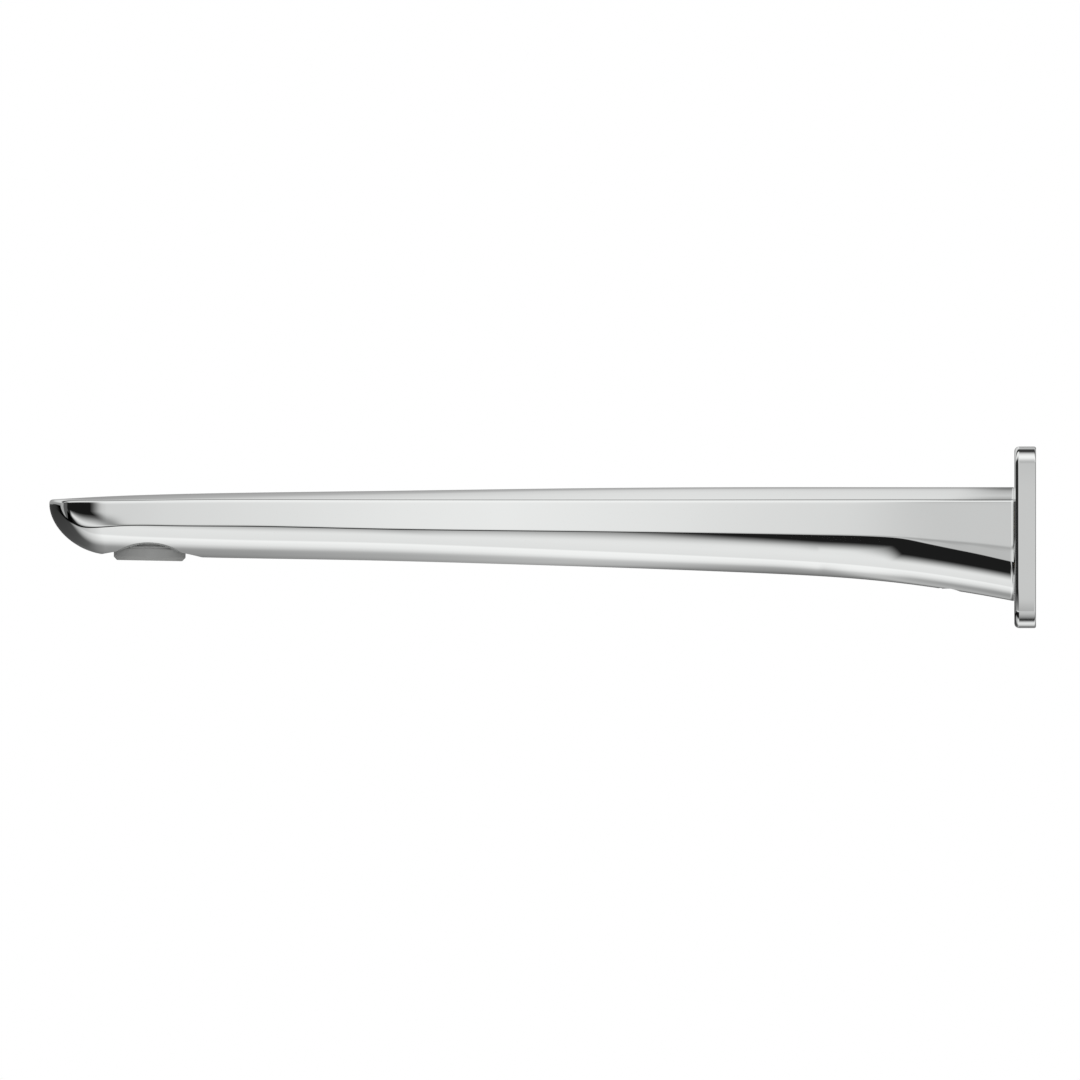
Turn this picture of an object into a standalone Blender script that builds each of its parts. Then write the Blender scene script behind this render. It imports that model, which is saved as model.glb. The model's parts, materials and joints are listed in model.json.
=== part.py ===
"""Wall mounted bath spout: a long chrome arm on a square wall plate, with an aerator under its tip.

Frame, in metres: the origin is the centre of the water pipe where it leaves the wall, +Z is up, and
the wall is the plane y = 0 with the spout reaching towards -Y. Lengths along the spout are given as
a distance from the wall, so a point at distance s has y = -s.
"""
import math

import bmesh
import bpy
from mathutils import Matrix

MM = 0.001
GAP = 0.3 * MM                    # clearance between neighbouring pieces

# Driving dimensions
REACH = 250.0 * MM                # wall to the tip of the spout
BODY_REAR = 5.8 * MM              # wall to the body's rear face, just clear of the plate
WALL = 1.8 * MM                   # thickness of the cast body's shell
PIPE_RADIUS = 7.5 * MM            # 15 mm copper pipe that the spout slips onto
OUTLET_REACH = 224.6 * MM         # wall to the aerator's axis
OUTLET_DROP = 5.9 * MM            # pipe's axis down to the aerator's rim
OUTLET_TILT = math.radians(1.1)   # aerator stands square to the rising underside

# Outlines of the body: (distance from the wall, height or half width), joined by smooth curves
CROWN_LINE = [(0, 12.7), (80, 12.7), (123, 12.36), (161, 11.83), (199, 11.33), (224, 10.8),
              (250, 9.6)]
EDGE_LINE = [(0, 9.26), (250, 9.13)]
CREASE_LINE = [(0, -7.6), (14, -4.47), (24, -2.45), (34, -0.72), (44, 0.09), (70, 0.85), (120, 1.6),
               (180, 2.6), (230, 3.1), (239, 2.45), (243.6, 3.3), (246.4, 5.6), (248.7, 8.1),
               (250, 8.5)]
KEEL_LINE = [(0, -17.3), (9, -15.51), (19, -13.78), (34, -11.66), (50, -10.16), (70, -9.08),
             (98, -7.97), (136, -6.74), (174, -5.75), (212, -5.07), (237, -4.3)]
HALF_WIDTH_LINE = [(0, 11.5), (55, 11.9), (110, 12.7), (161, 13.4), (205, 13.8), (234, 13.8)]
EDGE_RADIUS = 0.9                 # rounding between the crown and the side, in mm
LEAST_SIDE = 0.2                  # least height of the flat side, at the very tip, in mm
NOSE_START = 234.0                # where the plan outline starts to round off, in mm
NOSE_POWER = 2.3                  # 2 is an ellipse, more is blunter
PROW_START, PROW_TOP, PROW_POWER = 237.0, 8.0, 1.7

# Wall plate and the gasket in its hollow back
PLATE_SIDE = 46.0 * MM
PLATE_THICKNESS = BODY_REAR - GAP
PLATE_CORNER, PLATE_BEVEL = 4.4 * MM, 1.0 * MM
PLATE_HOLLOW_SIDE = PLATE_SIDE - 7.0 * MM
PLATE_HOLLOW_DEPTH, PLATE_HOLLOW_CORNER = 3.0 * MM, 3.0 * MM
PLATE_OPENING_RADIUS = 10.4 * MM
GASKET_THICKNESS, GASKET_CORNER = 2.7 * MM, 2.7 * MM
GASKET_OPENING_RADIUS = 14.0 * MM

# Inlet block and pipe socket, as distances from the wall
BLOCK_RADIUS = 9.5 * MM
BLOCK_REAR, BLOCK_FRONT = 1.0 * MM, 36.0 * MM
SOCKET_RADIUS = PIPE_RADIUS + 0.2 * MM
SOCKET_END = 28.0 * MM
GROOVE_RADIUS = 8.7 * MM          # floor of every O-ring groove in the block
PIPE_SEAL_REACHES = (9.0 * MM, 15.0 * MM)
PIPE_SEAL_RADIUS, PIPE_SEAL_THICKNESS, PIPE_GROOVE_WIDTH = 7.95 * MM, 0.9 * MM, 2.0 * MM
PLATE_SEAL_REACH = 4.2 * MM
PLATE_SEAL_RADIUS, PLATE_SEAL_THICKNESS, PLATE_GROOVE_WIDTH = 9.55 * MM, 1.0 * MM, 1.8 * MM

# Set screw under the socket, as heights from the middle of its length
SET_SCREW_REACH, SET_SCREW_DROP = 22.0 * MM, 10.5 * MM
SET_SCREW_RADIUS = 2.4 * MM
SET_SCREW_TOP, SET_SCREW_BOTTOM = 2.4 * MM, -2.5 * MM
SET_SCREW_POINT_RADIUS, SET_SCREW_POINT_HEIGHT, SET_SCREW_CHAMFER = 1.4 * MM, 0.8 * MM, 0.5 * MM
HEX_RADIUS, HEX_DEPTH = 1.45 * MM, 2.1 * MM
SCREW_HOLE_LENGTH = 12.0 * MM

# Water tube, from the inlet block up to the outlet
TUBE_RADIUS, TUBE_BORE = 5.0 * MM, 4.0 * MM
TUBE_REAR = 31.6 * MM
TUBE_RUN = 174.4 * MM
TUBE_RISE = 3.2 * MM
TUBE_SLOPE = math.atan2(TUBE_RISE, TUBE_RUN)
TUBE_LENGTH = math.hypot(TUBE_RISE, TUBE_RUN)
CAVITY_FRONT = 195.0 * MM         # the casting is solid from here to the tip
TUBE_SEAT_RADIUS = 6.9 * MM       # counterbore for the O-ring round each end of the tube
TUBE_SEAT_REAR, TUBE_SEAT_FRONT = 2.2 * MM, 8.4 * MM   # steps into them, from the tube's ends
TUBE_SEAL_RADIUS, TUBE_SEAL_THICKNESS = 5.95 * MM, 1.2 * MM
TUBE_SEAL_REAR, TUBE_SEAL_FRONT = 3.3 * MM, 9.6 * MM   # O-rings, from the tube's ends
GROMMET_REACHES = {"rear": 65.0 * MM, "middle": 115.0 * MM, "front": 165.0 * MM}
GROMMET_LENGTH = 5.0 * MM

# Passage through the solid nose, from the tube's seat to the outlet's chamber
PASSAGE_REAR, PASSAGE_LENGTH, PASSAGE_HEIGHT = 205.0 * MM, 17.0 * MM, 5.4 * MM
PASSAGE_RADIUS, PASSAGE_FLATNESS = 6.5 * MM, 0.5

# Aerator and the outlet that it screws into, as radii and heights above its rim
AERATOR_RADIUS, AERATOR_LIP_RADIUS, AERATOR_INSIDE_RADIUS = 9.1 * MM, 7.4 * MM, 8.0 * MM
AERATOR_CHAMFER, AERATOR_LIP_HEIGHT, AERATOR_TOP = 0.85 * MM, 1.2 * MM, 6.3 * MM
INSERT_RADIUS = 7.7 * MM
CHAMBER_RADIUS = 7.7 * MM
SEAT_HEIGHT = 8.0 * MM            # shoulder that the aerator's washer seals on
CHAMBER_TOP = 14.6 * MM
RECESS_SLOPE = math.radians(17.5)
RECESS_TOP, RECESS_LOW = 2.3 * MM, -4.1 * MM
WASHER_INSIDE_RADIUS, WASHER_BOTTOM, WASHER_TOP = 7.65 * MM, 6.6 * MM, 7.7 * MM
GRID_BOTTOM, GRID_TOP = 1.5 * MM, 3.1 * MM
SCREEN_BOTTOM, SCREEN_TOP = 3.4 * MM, 4.0 * MM
DIFFUSER_BOTTOM, DIFFUSER_TOP = 4.3 * MM, 5.9 * MM
REGULATOR_SEAL_RADIUS, REGULATOR_SEAL_THICKNESS, REGULATOR_SEAL_HEIGHT = 5.55 * MM, 0.9 * MM, 7.65 * MM

# Turned outlines as (radius, height) in mm, and holes as (ring radius, number of holes) in mm
REGULATOR_OUTLINE = [(0, 6.2), (7.3, 6.2), (7.3, 8.4), (6.7, 8.4), (6.7, 6.9), (4.4, 6.9), (4.4, 8.0),
                     (0, 8.0)]
STRAINER_OUTLINE = [(7.3, 8.7), (7.3, 9.4), (5.6, 10.9), (3.0, 11.8), (0, 12.1), (0, 11.5),
                    (2.8, 11.2), (5.2, 10.4), (6.5, 9.2), (6.5, 8.7)]
GRID_HOLES = [(0, 1), (2.9, 6), (5.8, 12)]
SCREEN_HOLES = [(2.4, 5), (5.4, 10)]
DIFFUSER_HOLES = [(5.8, 10)]
REGULATOR_HOLES = [(5.6, 8)]
STRAINER_HOLES = [(1.8, 5), (4.3, 10)]

FINISHES = {                      # colour, roughness, metallic
    "chrome": ((0.80, 0.81, 0.81), 0.05, 1.0),
    "brass": ((0.72, 0.55, 0.27), 0.30, 1.0),
    "copper": ((0.72, 0.40, 0.27), 0.30, 1.0),
    "steel": ((0.56, 0.57, 0.58), 0.25, 1.0),
    "grey_plastic": ((0.30, 0.31, 0.31), 0.40, 0.0),
    "white_plastic": ((0.75, 0.76, 0.75), 0.45, 0.0),
    "rubber": ((0.03, 0.03, 0.03), 0.80, 0.0),
    "foam": ((0.12, 0.12, 0.13), 0.95, 0.0),
}


# ---------------------------------------------------------------- curves

def smooth_curve(points, at):
    """Height at a distance along points: cubic pieces whose end slopes never overshoot."""
    xs = [p[0] for p in points]
    ys = [p[1] for p in points]
    steps = [(ys[i + 1] - ys[i]) / (xs[i + 1] - xs[i]) for i in range(len(xs) - 1)]
    slopes = [steps[0]]
    for before, after in zip(steps, steps[1:]):
        same_way = before * after > 0
        slopes.append(2 * before * after / (before + after) if same_way else 0.0)
    slopes.append(steps[-1])
    at = min(max(at, xs[0]), xs[-1])
    i = max(k for k in range(len(xs) - 1) if xs[k] <= at)
    width = xs[i + 1] - xs[i]
    t = (at - xs[i]) / width
    return ((1 + 2 * t) * (1 - t) ** 2 * ys[i] + t * (1 - t) ** 2 * width * slopes[i]
            + t * t * (3 - 2 * t) * ys[i + 1] - t * t * (1 - t) * width * slopes[i + 1])


def keel_height(s):
    """Underside: the keel's curve, then a superellipse that sweeps up to the tip."""
    if s <= PROW_START:
        return smooth_curve(KEEL_LINE, s)
    along = min((s - PROW_START) / (REACH / MM - PROW_START), 1.0)
    drop = PROW_TOP - smooth_curve(KEEL_LINE, PROW_START)
    return PROW_TOP - drop * (1 - along ** PROW_POWER) ** (1 / PROW_POWER)


def half_width(s):
    """Plan outline: widens slowly from the wall, then a superellipse round the nose."""
    if s <= NOSE_START:
        return smooth_curve(HALF_WIDTH_LINE, s)
    along = min((s - NOSE_START) / (REACH / MM - NOSE_START), 1.0)
    return HALF_WIDTH_LINE[-1][1] * (1 - along ** NOSE_POWER) ** (1 / NOSE_POWER)


# ---------------------------------------------------------------- sections across the body

def outer_section(s, inset=0.0):
    """Closed outline (x, z) in mm across the body at distance s, shrunk by inset on every side."""
    width = half_width(s) - inset
    top = smooth_curve(CROWN_LINE, s) - inset
    edge = smooth_curve(EDGE_LINE, s) - inset
    rounding = min(EDGE_RADIUS, 0.5 * width)
    crease = min(smooth_curve(CREASE_LINE, s), edge - rounding - LEAST_SIDE)
    keel = keel_height(s) + inset
    flat = width - rounding
    half = [(flat * i / 3, edge + (top - edge) * (1 - (i / 3) ** 2)) for i in range(4)]
    half.append((flat + rounding * math.sin(math.radians(45)),
                 edge - rounding * (1 - math.cos(math.radians(45)))))
    half.append((width, edge - rounding))
    depth = crease - keel
    if width >= depth:
        radius = (width ** 2 + depth ** 2) / (2 * depth)
        start = math.asin(1 - depth / radius)
        turns = [start + (math.pi / 2 - start) * i / 7 for i in range(8)]
        half += [(radius * math.cos(t), keel + radius * (1 - math.sin(t))) for t in turns]
    else:
        turns = [math.pi / 2 * i / 7 for i in range(8)]
        half += [(width * math.cos(t), crease - depth * math.sin(t)) for t in turns]
    half[-1] = (0.0, keel)
    return half + [(-x, z) for x, z in reversed(half[1:-1])]


def loft(name, sections):
    """Closed solid through outlines, each a (distance, [(x, z), ...]) in mm, wall end first."""
    mesh = bmesh.new()
    rings = []
    for s, outline in sections:
        rings.append([mesh.verts.new((x * MM, -s * MM, z * MM)) for x, z in outline])
    for ring in rings:
        for a, b in zip(ring, ring[1:] + ring[:1]):
            mesh.edges.new((a, b))
    for near, far in zip(rings, rings[1:]):
        edges = [mesh.edges.get((a, b)) for ring in (near, far)
                 for a, b in zip(ring, ring[1:] + ring[:1])]
        bmesh.ops.bridge_loops(mesh, edges=edges)
    mesh.faces.new(rings[0])
    mesh.faces.new(list(reversed(rings[-1])))
    bmesh.ops.recalc_face_normals(mesh, faces=mesh.faces)
    return add_object(name, mesh)


# ---------------------------------------------------------------- solids

def add_object(name, mesh):
    data = bpy.data.meshes.new(name)
    mesh.to_mesh(data)
    mesh.free()
    piece = bpy.data.objects.new(name, data)
    bpy.context.scene.collection.objects.link(piece)
    return piece


def turned(name, profile, steps=32):
    """Solid of revolution about local Z; profile is a closed loop of (radius, height) in metres."""
    mesh = bmesh.new()
    verts = [mesh.verts.new((r, 0.0, h)) for r, h in profile]
    edges = [mesh.edges.new(pair) for pair in zip(verts, verts[1:] + verts[:1])]
    on_axis = [e for e in edges if all(v.co.x == 0.0 for v in e.verts)]
    bmesh.ops.delete(mesh, geom=on_axis, context='EDGES')
    edges = [e for e in mesh.edges]
    bmesh.ops.spin(mesh, geom=edges, cent=(0, 0, 0), axis=(0, 0, 1), angle=math.tau, steps=steps)
    bmesh.ops.remove_doubles(mesh, verts=mesh.verts, dist=1e-7)
    bmesh.ops.recalc_face_normals(mesh, faces=mesh.faces)
    return add_object(name, mesh)


def disc(name, radius, bottom, top, steps=32):
    return turned(name, [(0, bottom), (radius, bottom), (radius, top), (0, top)], steps)


def tube(name, inner, outer, bottom, top, steps=32):
    return turned(name, [(inner, bottom), (outer, bottom), (outer, top), (inner, top)], steps)


def stepped_bore(name, end, step, mouth):
    """Cutter for one end of the water tube: the tube's own bore, then a wider seat for its O-ring."""
    bore = TUBE_RADIUS + GAP
    return turned(name, [(0, end), (bore, end), (bore, step), (TUBE_SEAT_RADIUS, step),
                         (TUBE_SEAT_RADIUS, mouth), (0, mouth)], 24)


def screw_hole(name, screw_axis):
    hole = disc(name, SET_SCREW_RADIUS + GAP, -SCREW_HOLE_LENGTH / 2, SCREW_HOLE_LENGTH / 2, 20)
    hang(screw_axis, hole)
    return hole


def o_ring(name, radius, thickness, height, steps=28, sides=8):
    """Ring of round section: radius to the section's centre, thickness across it."""
    turns = [math.tau * i / sides for i in range(sides)]
    profile = [(radius + thickness / 2 * math.cos(t), height + thickness / 2 * math.sin(t))
               for t in turns]
    return turned(name, profile, steps)


def rounded_slab(name, side, corner, thickness, segments=5):
    """Square slab standing on the wall plane, its four long corners rounded."""
    mesh = bmesh.new()
    half = side / 2
    corners = [mesh.verts.new((x, 0, z)) for x, z in
               ((-half, -half), (half, -half), (half, half), (-half, half))]
    mesh.faces.new(corners)
    bmesh.ops.bevel(mesh, geom=mesh.verts[:], offset=corner, segments=segments, profile=0.5,
                    affect='VERTICES')
    raised = bmesh.ops.extrude_face_region(mesh, geom=mesh.faces[:])
    front = [v for v in raised["geom"] if isinstance(v, bmesh.types.BMVert)]
    bmesh.ops.translate(mesh, verts=front, vec=(0, -thickness, 0))
    bmesh.ops.recalc_face_normals(mesh, faces=mesh.faces)
    return add_object(name, mesh)


def cut(piece, cutter):
    """Take cutter away from piece with a live Boolean, and keep the cutter as a guide."""
    cutter.hide_render = True
    cutter.display_type = 'WIRE'
    modifier = piece.modifiers.new("cut_" + cutter.name, 'BOOLEAN')
    modifier.operation = 'DIFFERENCE'
    modifier.object = cutter
    modifier.solver = 'EXACT'


def finish(piece, finish_name):
    """Give a piece its own Principled material, and smooth shading across its round faces."""
    colour, roughness, metallic = FINISHES[finish_name]
    material = bpy.data.materials.new(piece.name + "_" + finish_name)
    material.use_nodes = True
    shader = material.node_tree.nodes["Principled BSDF"]
    shader.inputs["Base Color"].default_value = (*colour, 1.0)
    shader.inputs["Roughness"].default_value = roughness
    shader.inputs["Metallic"].default_value = metallic
    piece.data.materials.append(material)
    piece.data.shade_smooth()
    piece.data.set_sharp_from_angle(angle=math.radians(35))
    return piece


def axis_empty(name, s, height, turn):
    """Empty on an axis: its local Z runs along the axis of the pieces parented to it."""
    empty = bpy.data.objects.new(name, None)
    empty.location = (0, -s, height)
    empty.rotation_euler = (turn, 0, 0)
    bpy.context.scene.collection.objects.link(empty)
    return empty


def hang(parent, *pieces):
    for piece in pieces:
        piece.parent = parent


# ---------------------------------------------------------------- sub-parts

def make_body(inlet_axis, tube_axis, aerator_axis, screw_axis):
    """Cast arm: thick round socket at the wall, hollow middle, solid nose with the outlet."""
    rear = BODY_REAR / MM
    nose_turns = [math.radians(a) for a in (12, 24, 36, 47, 57, 66, 74, 81, 87)]
    nose = [NOSE_START + (REACH / MM - NOSE_START) * math.sin(a) for a in nose_turns]
    stations = [rear + 0.4, 10, 15, 20, 26, 32, 38, 45, 54, 68, 85, 105, 130, 160, 190, 215, 234]
    sections = [(rear, outer_section(rear, inset=0.4))]
    sections += [(s, outer_section(s)) for s in stations + nose]
    sections.append((REACH / MM, outer_section(REACH / MM - 0.004)))
    body = loft("spout_body", sections)

    wall = WALL / MM
    hollow_stations = (BLOCK_FRONT / MM, 45, 60, 85, 120, 160, CAVITY_FRONT / MM)
    hollow = loft("cut_hollow", [(s, outer_section(s, inset=wall)) for s in hollow_stations])
    socket = disc("cut_socket", BLOCK_RADIUS + GAP, 0.0, BLOCK_FRONT + GAP)
    tube_bore = stepped_bore("cut_tube_bore", TUBE_LENGTH + GAP, TUBE_LENGTH - TUBE_SEAT_FRONT,
                             CAVITY_FRONT - TUBE_REAR - TUBE_SEAT_FRONT)
    hang(inlet_axis, socket)
    hang(tube_axis, tube_bore)

    passage = disc("cut_passage", PASSAGE_RADIUS, 0.0, PASSAGE_LENGTH, 20)
    passage.data.transform(Matrix.Diagonal((1.0, PASSAGE_FLATNESS, 1.0, 1.0)))
    passage.rotation_euler = (math.radians(90), 0, 0)
    passage.location = (0, -PASSAGE_REAR, PASSAGE_HEIGHT)

    bore = AERATOR_RADIUS + GAP
    recess_radius = bore + (RECESS_TOP - RECESS_LOW) / math.tan(RECESS_SLOPE)
    outlet = turned("cut_outlet", [
        (0, RECESS_LOW), (recess_radius, RECESS_LOW), (bore, RECESS_TOP), (bore, SEAT_HEIGHT),
        (CHAMBER_RADIUS, SEAT_HEIGHT), (CHAMBER_RADIUS, CHAMBER_TOP), (0, CHAMBER_TOP)], 48)
    hang(aerator_axis, outlet)
    for cutter in (hollow, socket, tube_bore, passage, outlet,
                   screw_hole("cut_screw_hole_body", screw_axis)):
        cut(body, cutter)
    return finish(body, "chrome")


def make_wall_plate(inlet_axis):
    """Square plate with a hollow back; the inlet block's collar centres it."""
    plate = rounded_slab("wall_plate", PLATE_SIDE, PLATE_CORNER, PLATE_THICKNESS)
    bevel = plate.modifiers.new("soft_edges", 'BEVEL')
    bevel.width = PLATE_BEVEL
    bevel.segments = 3
    bevel.limit_method = 'ANGLE'
    bevel.angle_limit = math.radians(60)
    hollow = rounded_slab("cut_plate_hollow", PLATE_HOLLOW_SIDE, PLATE_HOLLOW_CORNER,
                          2 * PLATE_HOLLOW_DEPTH, 3)
    hollow.location = (0, PLATE_HOLLOW_DEPTH, 0)
    opening = disc("cut_plate_opening", PLATE_OPENING_RADIUS, -PLATE_THICKNESS, 2 * PLATE_THICKNESS, 40)
    hang(inlet_axis, opening)
    cut(plate, hollow)
    cut(plate, opening)
    return finish(plate, "chrome")


def make_wall_gasket(inlet_axis):
    """Foam gasket that fills the plate's hollow back and lies flush with its rim."""
    gasket = rounded_slab("wall_gasket", PLATE_HOLLOW_SIDE - 2 * GAP, GASKET_CORNER,
                          GASKET_THICKNESS, 3)
    opening = disc("cut_gasket_opening", GASKET_OPENING_RADIUS, -GASKET_THICKNESS,
                   2 * GASKET_THICKNESS, 32)
    hang(inlet_axis, opening)
    cut(gasket, opening)
    return finish(gasket, "foam")


def make_inlet_block(inlet_axis, tube_axis, screw_axis):
    """Slip-fit socket for the pipe, with grooves for the O-rings and a seat for the water tube."""
    outer, inner = BLOCK_RADIUS, SOCKET_RADIUS
    profile = [(inner, BLOCK_REAR), (outer, BLOCK_REAR)]
    profile += groove(outer, PLATE_SEAL_REACH, PLATE_GROOVE_WIDTH)
    profile += [(outer, BLOCK_FRONT), (TUBE_BORE, BLOCK_FRONT), (TUBE_BORE, SOCKET_END),
                (inner, SOCKET_END)]
    for reach in reversed(PIPE_SEAL_REACHES):
        profile += reversed(groove(inner, reach, PIPE_GROOVE_WIDTH))
    block = turned("inlet_block", profile, 36)
    tube_bore = stepped_bore("cut_block_bore", -GAP, TUBE_SEAT_REAR, BLOCK_FRONT - SOCKET_END)
    hang(inlet_axis, block)
    hang(tube_axis, tube_bore)
    cut(block, tube_bore)
    cut(block, screw_hole("cut_screw_hole_block", screw_axis))
    return finish(block, "brass")


def groove(surface, middle, width):
    """Points of a square groove in a turned outline, from the surface to the shared floor radius."""
    low, high = middle - width / 2, middle + width / 2
    return [(surface, low), (GROOVE_RADIUS, low), (GROOVE_RADIUS, high), (surface, high)]


def make_inlet_seals(inlet_axis):
    """O-rings round the pipe, and the one that grips the plate on the block's collar."""
    pipe_seals = [o_ring(name, PIPE_SEAL_RADIUS, PIPE_SEAL_THICKNESS, reach)
                  for name, reach in zip(("pipe_oring_rear", "pipe_oring_front"), PIPE_SEAL_REACHES)]
    plate_seal = o_ring("plate_oring", PLATE_SEAL_RADIUS, PLATE_SEAL_THICKNESS, PLATE_SEAL_REACH)
    hang(inlet_axis, plate_seal, *pipe_seals)
    for seal in pipe_seals + [plate_seal]:
        finish(seal, "rubber")


def make_water_tube(tube_axis):
    """Rigid tube with an O-ring round each end, and three foam grommets that keep it quiet."""
    water_tube = tube("water_tube", TUBE_BORE, TUBE_RADIUS, 0.0, TUBE_LENGTH, 24)
    finish(water_tube, "copper")
    seals = [o_ring(name, TUBE_SEAL_RADIUS, TUBE_SEAL_THICKNESS, height, 24)
             for name, height in (("tube_oring_rear", TUBE_SEAL_REAR),
                                  ("tube_oring_front", TUBE_LENGTH - TUBE_SEAL_FRONT))]
    hang(tube_axis, water_tube, *seals)
    for seal in seals:
        finish(seal, "rubber")
    inset = (WALL + GAP) / MM
    for name, reach in GROMMET_REACHES.items():
        ends = (reach / MM, (reach + GROMMET_LENGTH) / MM)
        grommet = loft("tube_grommet_" + name, [(s, outer_section(s, inset)) for s in ends])
        along = reach - TUBE_REAR
        hole = disc("cut_grommet_" + name, TUBE_RADIUS + GAP, along - GROMMET_LENGTH,
                    along + 2 * GROMMET_LENGTH, 24)
        hang(tube_axis, hole)
        cut(grommet, hole)
        finish(grommet, "foam")


def make_set_screw(screw_axis):
    """Headless screw with a hexagon socket; it clamps the block and bears on the pipe."""
    screw = turned("set_screw", [
        (0, SET_SCREW_BOTTOM), (SET_SCREW_RADIUS - SET_SCREW_CHAMFER, SET_SCREW_BOTTOM),
        (SET_SCREW_RADIUS, SET_SCREW_BOTTOM + SET_SCREW_CHAMFER),
        (SET_SCREW_RADIUS, SET_SCREW_TOP - SET_SCREW_POINT_HEIGHT),
        (SET_SCREW_POINT_RADIUS, SET_SCREW_TOP), (0, SET_SCREW_TOP)], 20)
    socket = disc("cut_hex_socket", HEX_RADIUS, SET_SCREW_BOTTOM - HEX_DEPTH,
                  SET_SCREW_BOTTOM + HEX_DEPTH, 6)
    hang(screw_axis, screw, socket)
    cut(screw, socket)
    return finish(screw, "steel")


def make_aerator(aerator_axis):
    """Threaded housing, its washer, and the stack of insert pieces that it holds."""
    housing = turned("aerator_housing", [
        (AERATOR_LIP_RADIUS, 0), (AERATOR_RADIUS - AERATOR_CHAMFER, 0),
        (AERATOR_RADIUS, AERATOR_CHAMFER), (AERATOR_RADIUS, AERATOR_TOP),
        (AERATOR_INSIDE_RADIUS, AERATOR_TOP), (AERATOR_INSIDE_RADIUS, AERATOR_LIP_HEIGHT),
        (AERATOR_LIP_RADIUS, AERATOR_LIP_HEIGHT)], 48)
    finish(housing, "grey_plastic")
    washer = tube("aerator_washer", WASHER_INSIDE_RADIUS, AERATOR_RADIUS, WASHER_BOTTOM, WASHER_TOP)
    finish(washer, "rubber")

    grid = disc("outlet_grid", INSERT_RADIUS, GRID_BOTTOM, GRID_TOP, 36)
    screen = disc("mixing_screen", INSERT_RADIUS, SCREEN_BOTTOM, SCREEN_TOP, 36)
    diffuser = disc("jet_diffuser", INSERT_RADIUS, DIFFUSER_BOTTOM, DIFFUSER_TOP, 36)
    pierce(aerator_axis, grid, 1.1 * MM, GRID_HOLES)
    pierce(aerator_axis, screen, 0.9 * MM, SCREEN_HOLES)
    pierce(aerator_axis, diffuser, 0.7 * MM, DIFFUSER_HOLES)
    finish(grid, "grey_plastic")
    finish(screen, "steel")
    finish(diffuser, "white_plastic")

    regulator = turned("flow_regulator", [(r * MM, h * MM) for r, h in REGULATOR_OUTLINE], 36)
    pierce(aerator_axis, regulator, 0.45 * MM, REGULATOR_HOLES)
    finish(regulator, "white_plastic")
    ring = o_ring("regulator_ring", REGULATOR_SEAL_RADIUS, REGULATOR_SEAL_THICKNESS,
                  REGULATOR_SEAL_HEIGHT)
    finish(ring, "rubber")

    strainer = turned("strainer_dome", [(r * MM, h * MM) for r, h in STRAINER_OUTLINE])
    pierce(aerator_axis, strainer, 0.6 * MM, STRAINER_HOLES)
    finish(strainer, "white_plastic")
    hang(aerator_axis, housing, washer, grid, screen, diffuser, regulator, ring, strainer)


def pierce(axis, piece, radius, rings):
    """Six-sided holes through a turned piece: each ring is (radius to the holes' centres in mm,
    number of holes)."""
    mesh = bmesh.new()
    for ring_radius, count in rings:
        for i in range(count):
            turn = math.tau * (i + 0.5) / count
            place = Matrix.Translation((ring_radius * MM * math.cos(turn),
                                        ring_radius * MM * math.sin(turn), CHAMBER_TOP / 2))
            bmesh.ops.create_cone(mesh, cap_ends=True, segments=6, radius1=radius, radius2=radius,
                                  depth=CHAMBER_TOP, matrix=place)
    cutter = add_object("cut_" + piece.name, mesh)
    hang(axis, cutter)
    cut(piece, cutter)


def main():
    for old in list(bpy.data.objects):
        bpy.data.objects.remove(old, do_unlink=True)
    inlet_axis = axis_empty("inlet_axis", 0.0, 0.0, math.radians(90))
    tube_axis = axis_empty("tube_axis", TUBE_REAR, 0.0, math.radians(90) - TUBE_SLOPE)
    aerator_axis = axis_empty("aerator_axis", OUTLET_REACH, -OUTLET_DROP, -OUTLET_TILT)
    screw_axis = axis_empty("screw_axis", SET_SCREW_REACH, -SET_SCREW_DROP, 0.0)
    make_body(inlet_axis, tube_axis, aerator_axis, screw_axis)
    make_wall_plate(inlet_axis)
    make_wall_gasket(inlet_axis)
    make_inlet_block(inlet_axis, tube_axis, screw_axis)
    make_inlet_seals(inlet_axis)
    make_water_tube(tube_axis)
    make_set_screw(screw_axis)
    make_aerator(aerator_axis)


main()
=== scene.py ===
"""Wall mounted bath spout: the fine visible surfaces, their finishes and a plain studio.

Laid out as a Blender add-on and run as a script. Each operator makes one piece, or one group of like
pieces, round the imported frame: metres, +Z up, the wall is the plane y = 0 and the spout reaches
towards -Y. Lengths along the spout are distances from the wall in millimetres until they are placed.
"""
import json
import math

import bmesh
import bpy
import numpy as np
from bpy.props import FloatProperty, FloatVectorProperty, IntProperty, PointerProperty
from mathutils import Matrix, Vector


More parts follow.
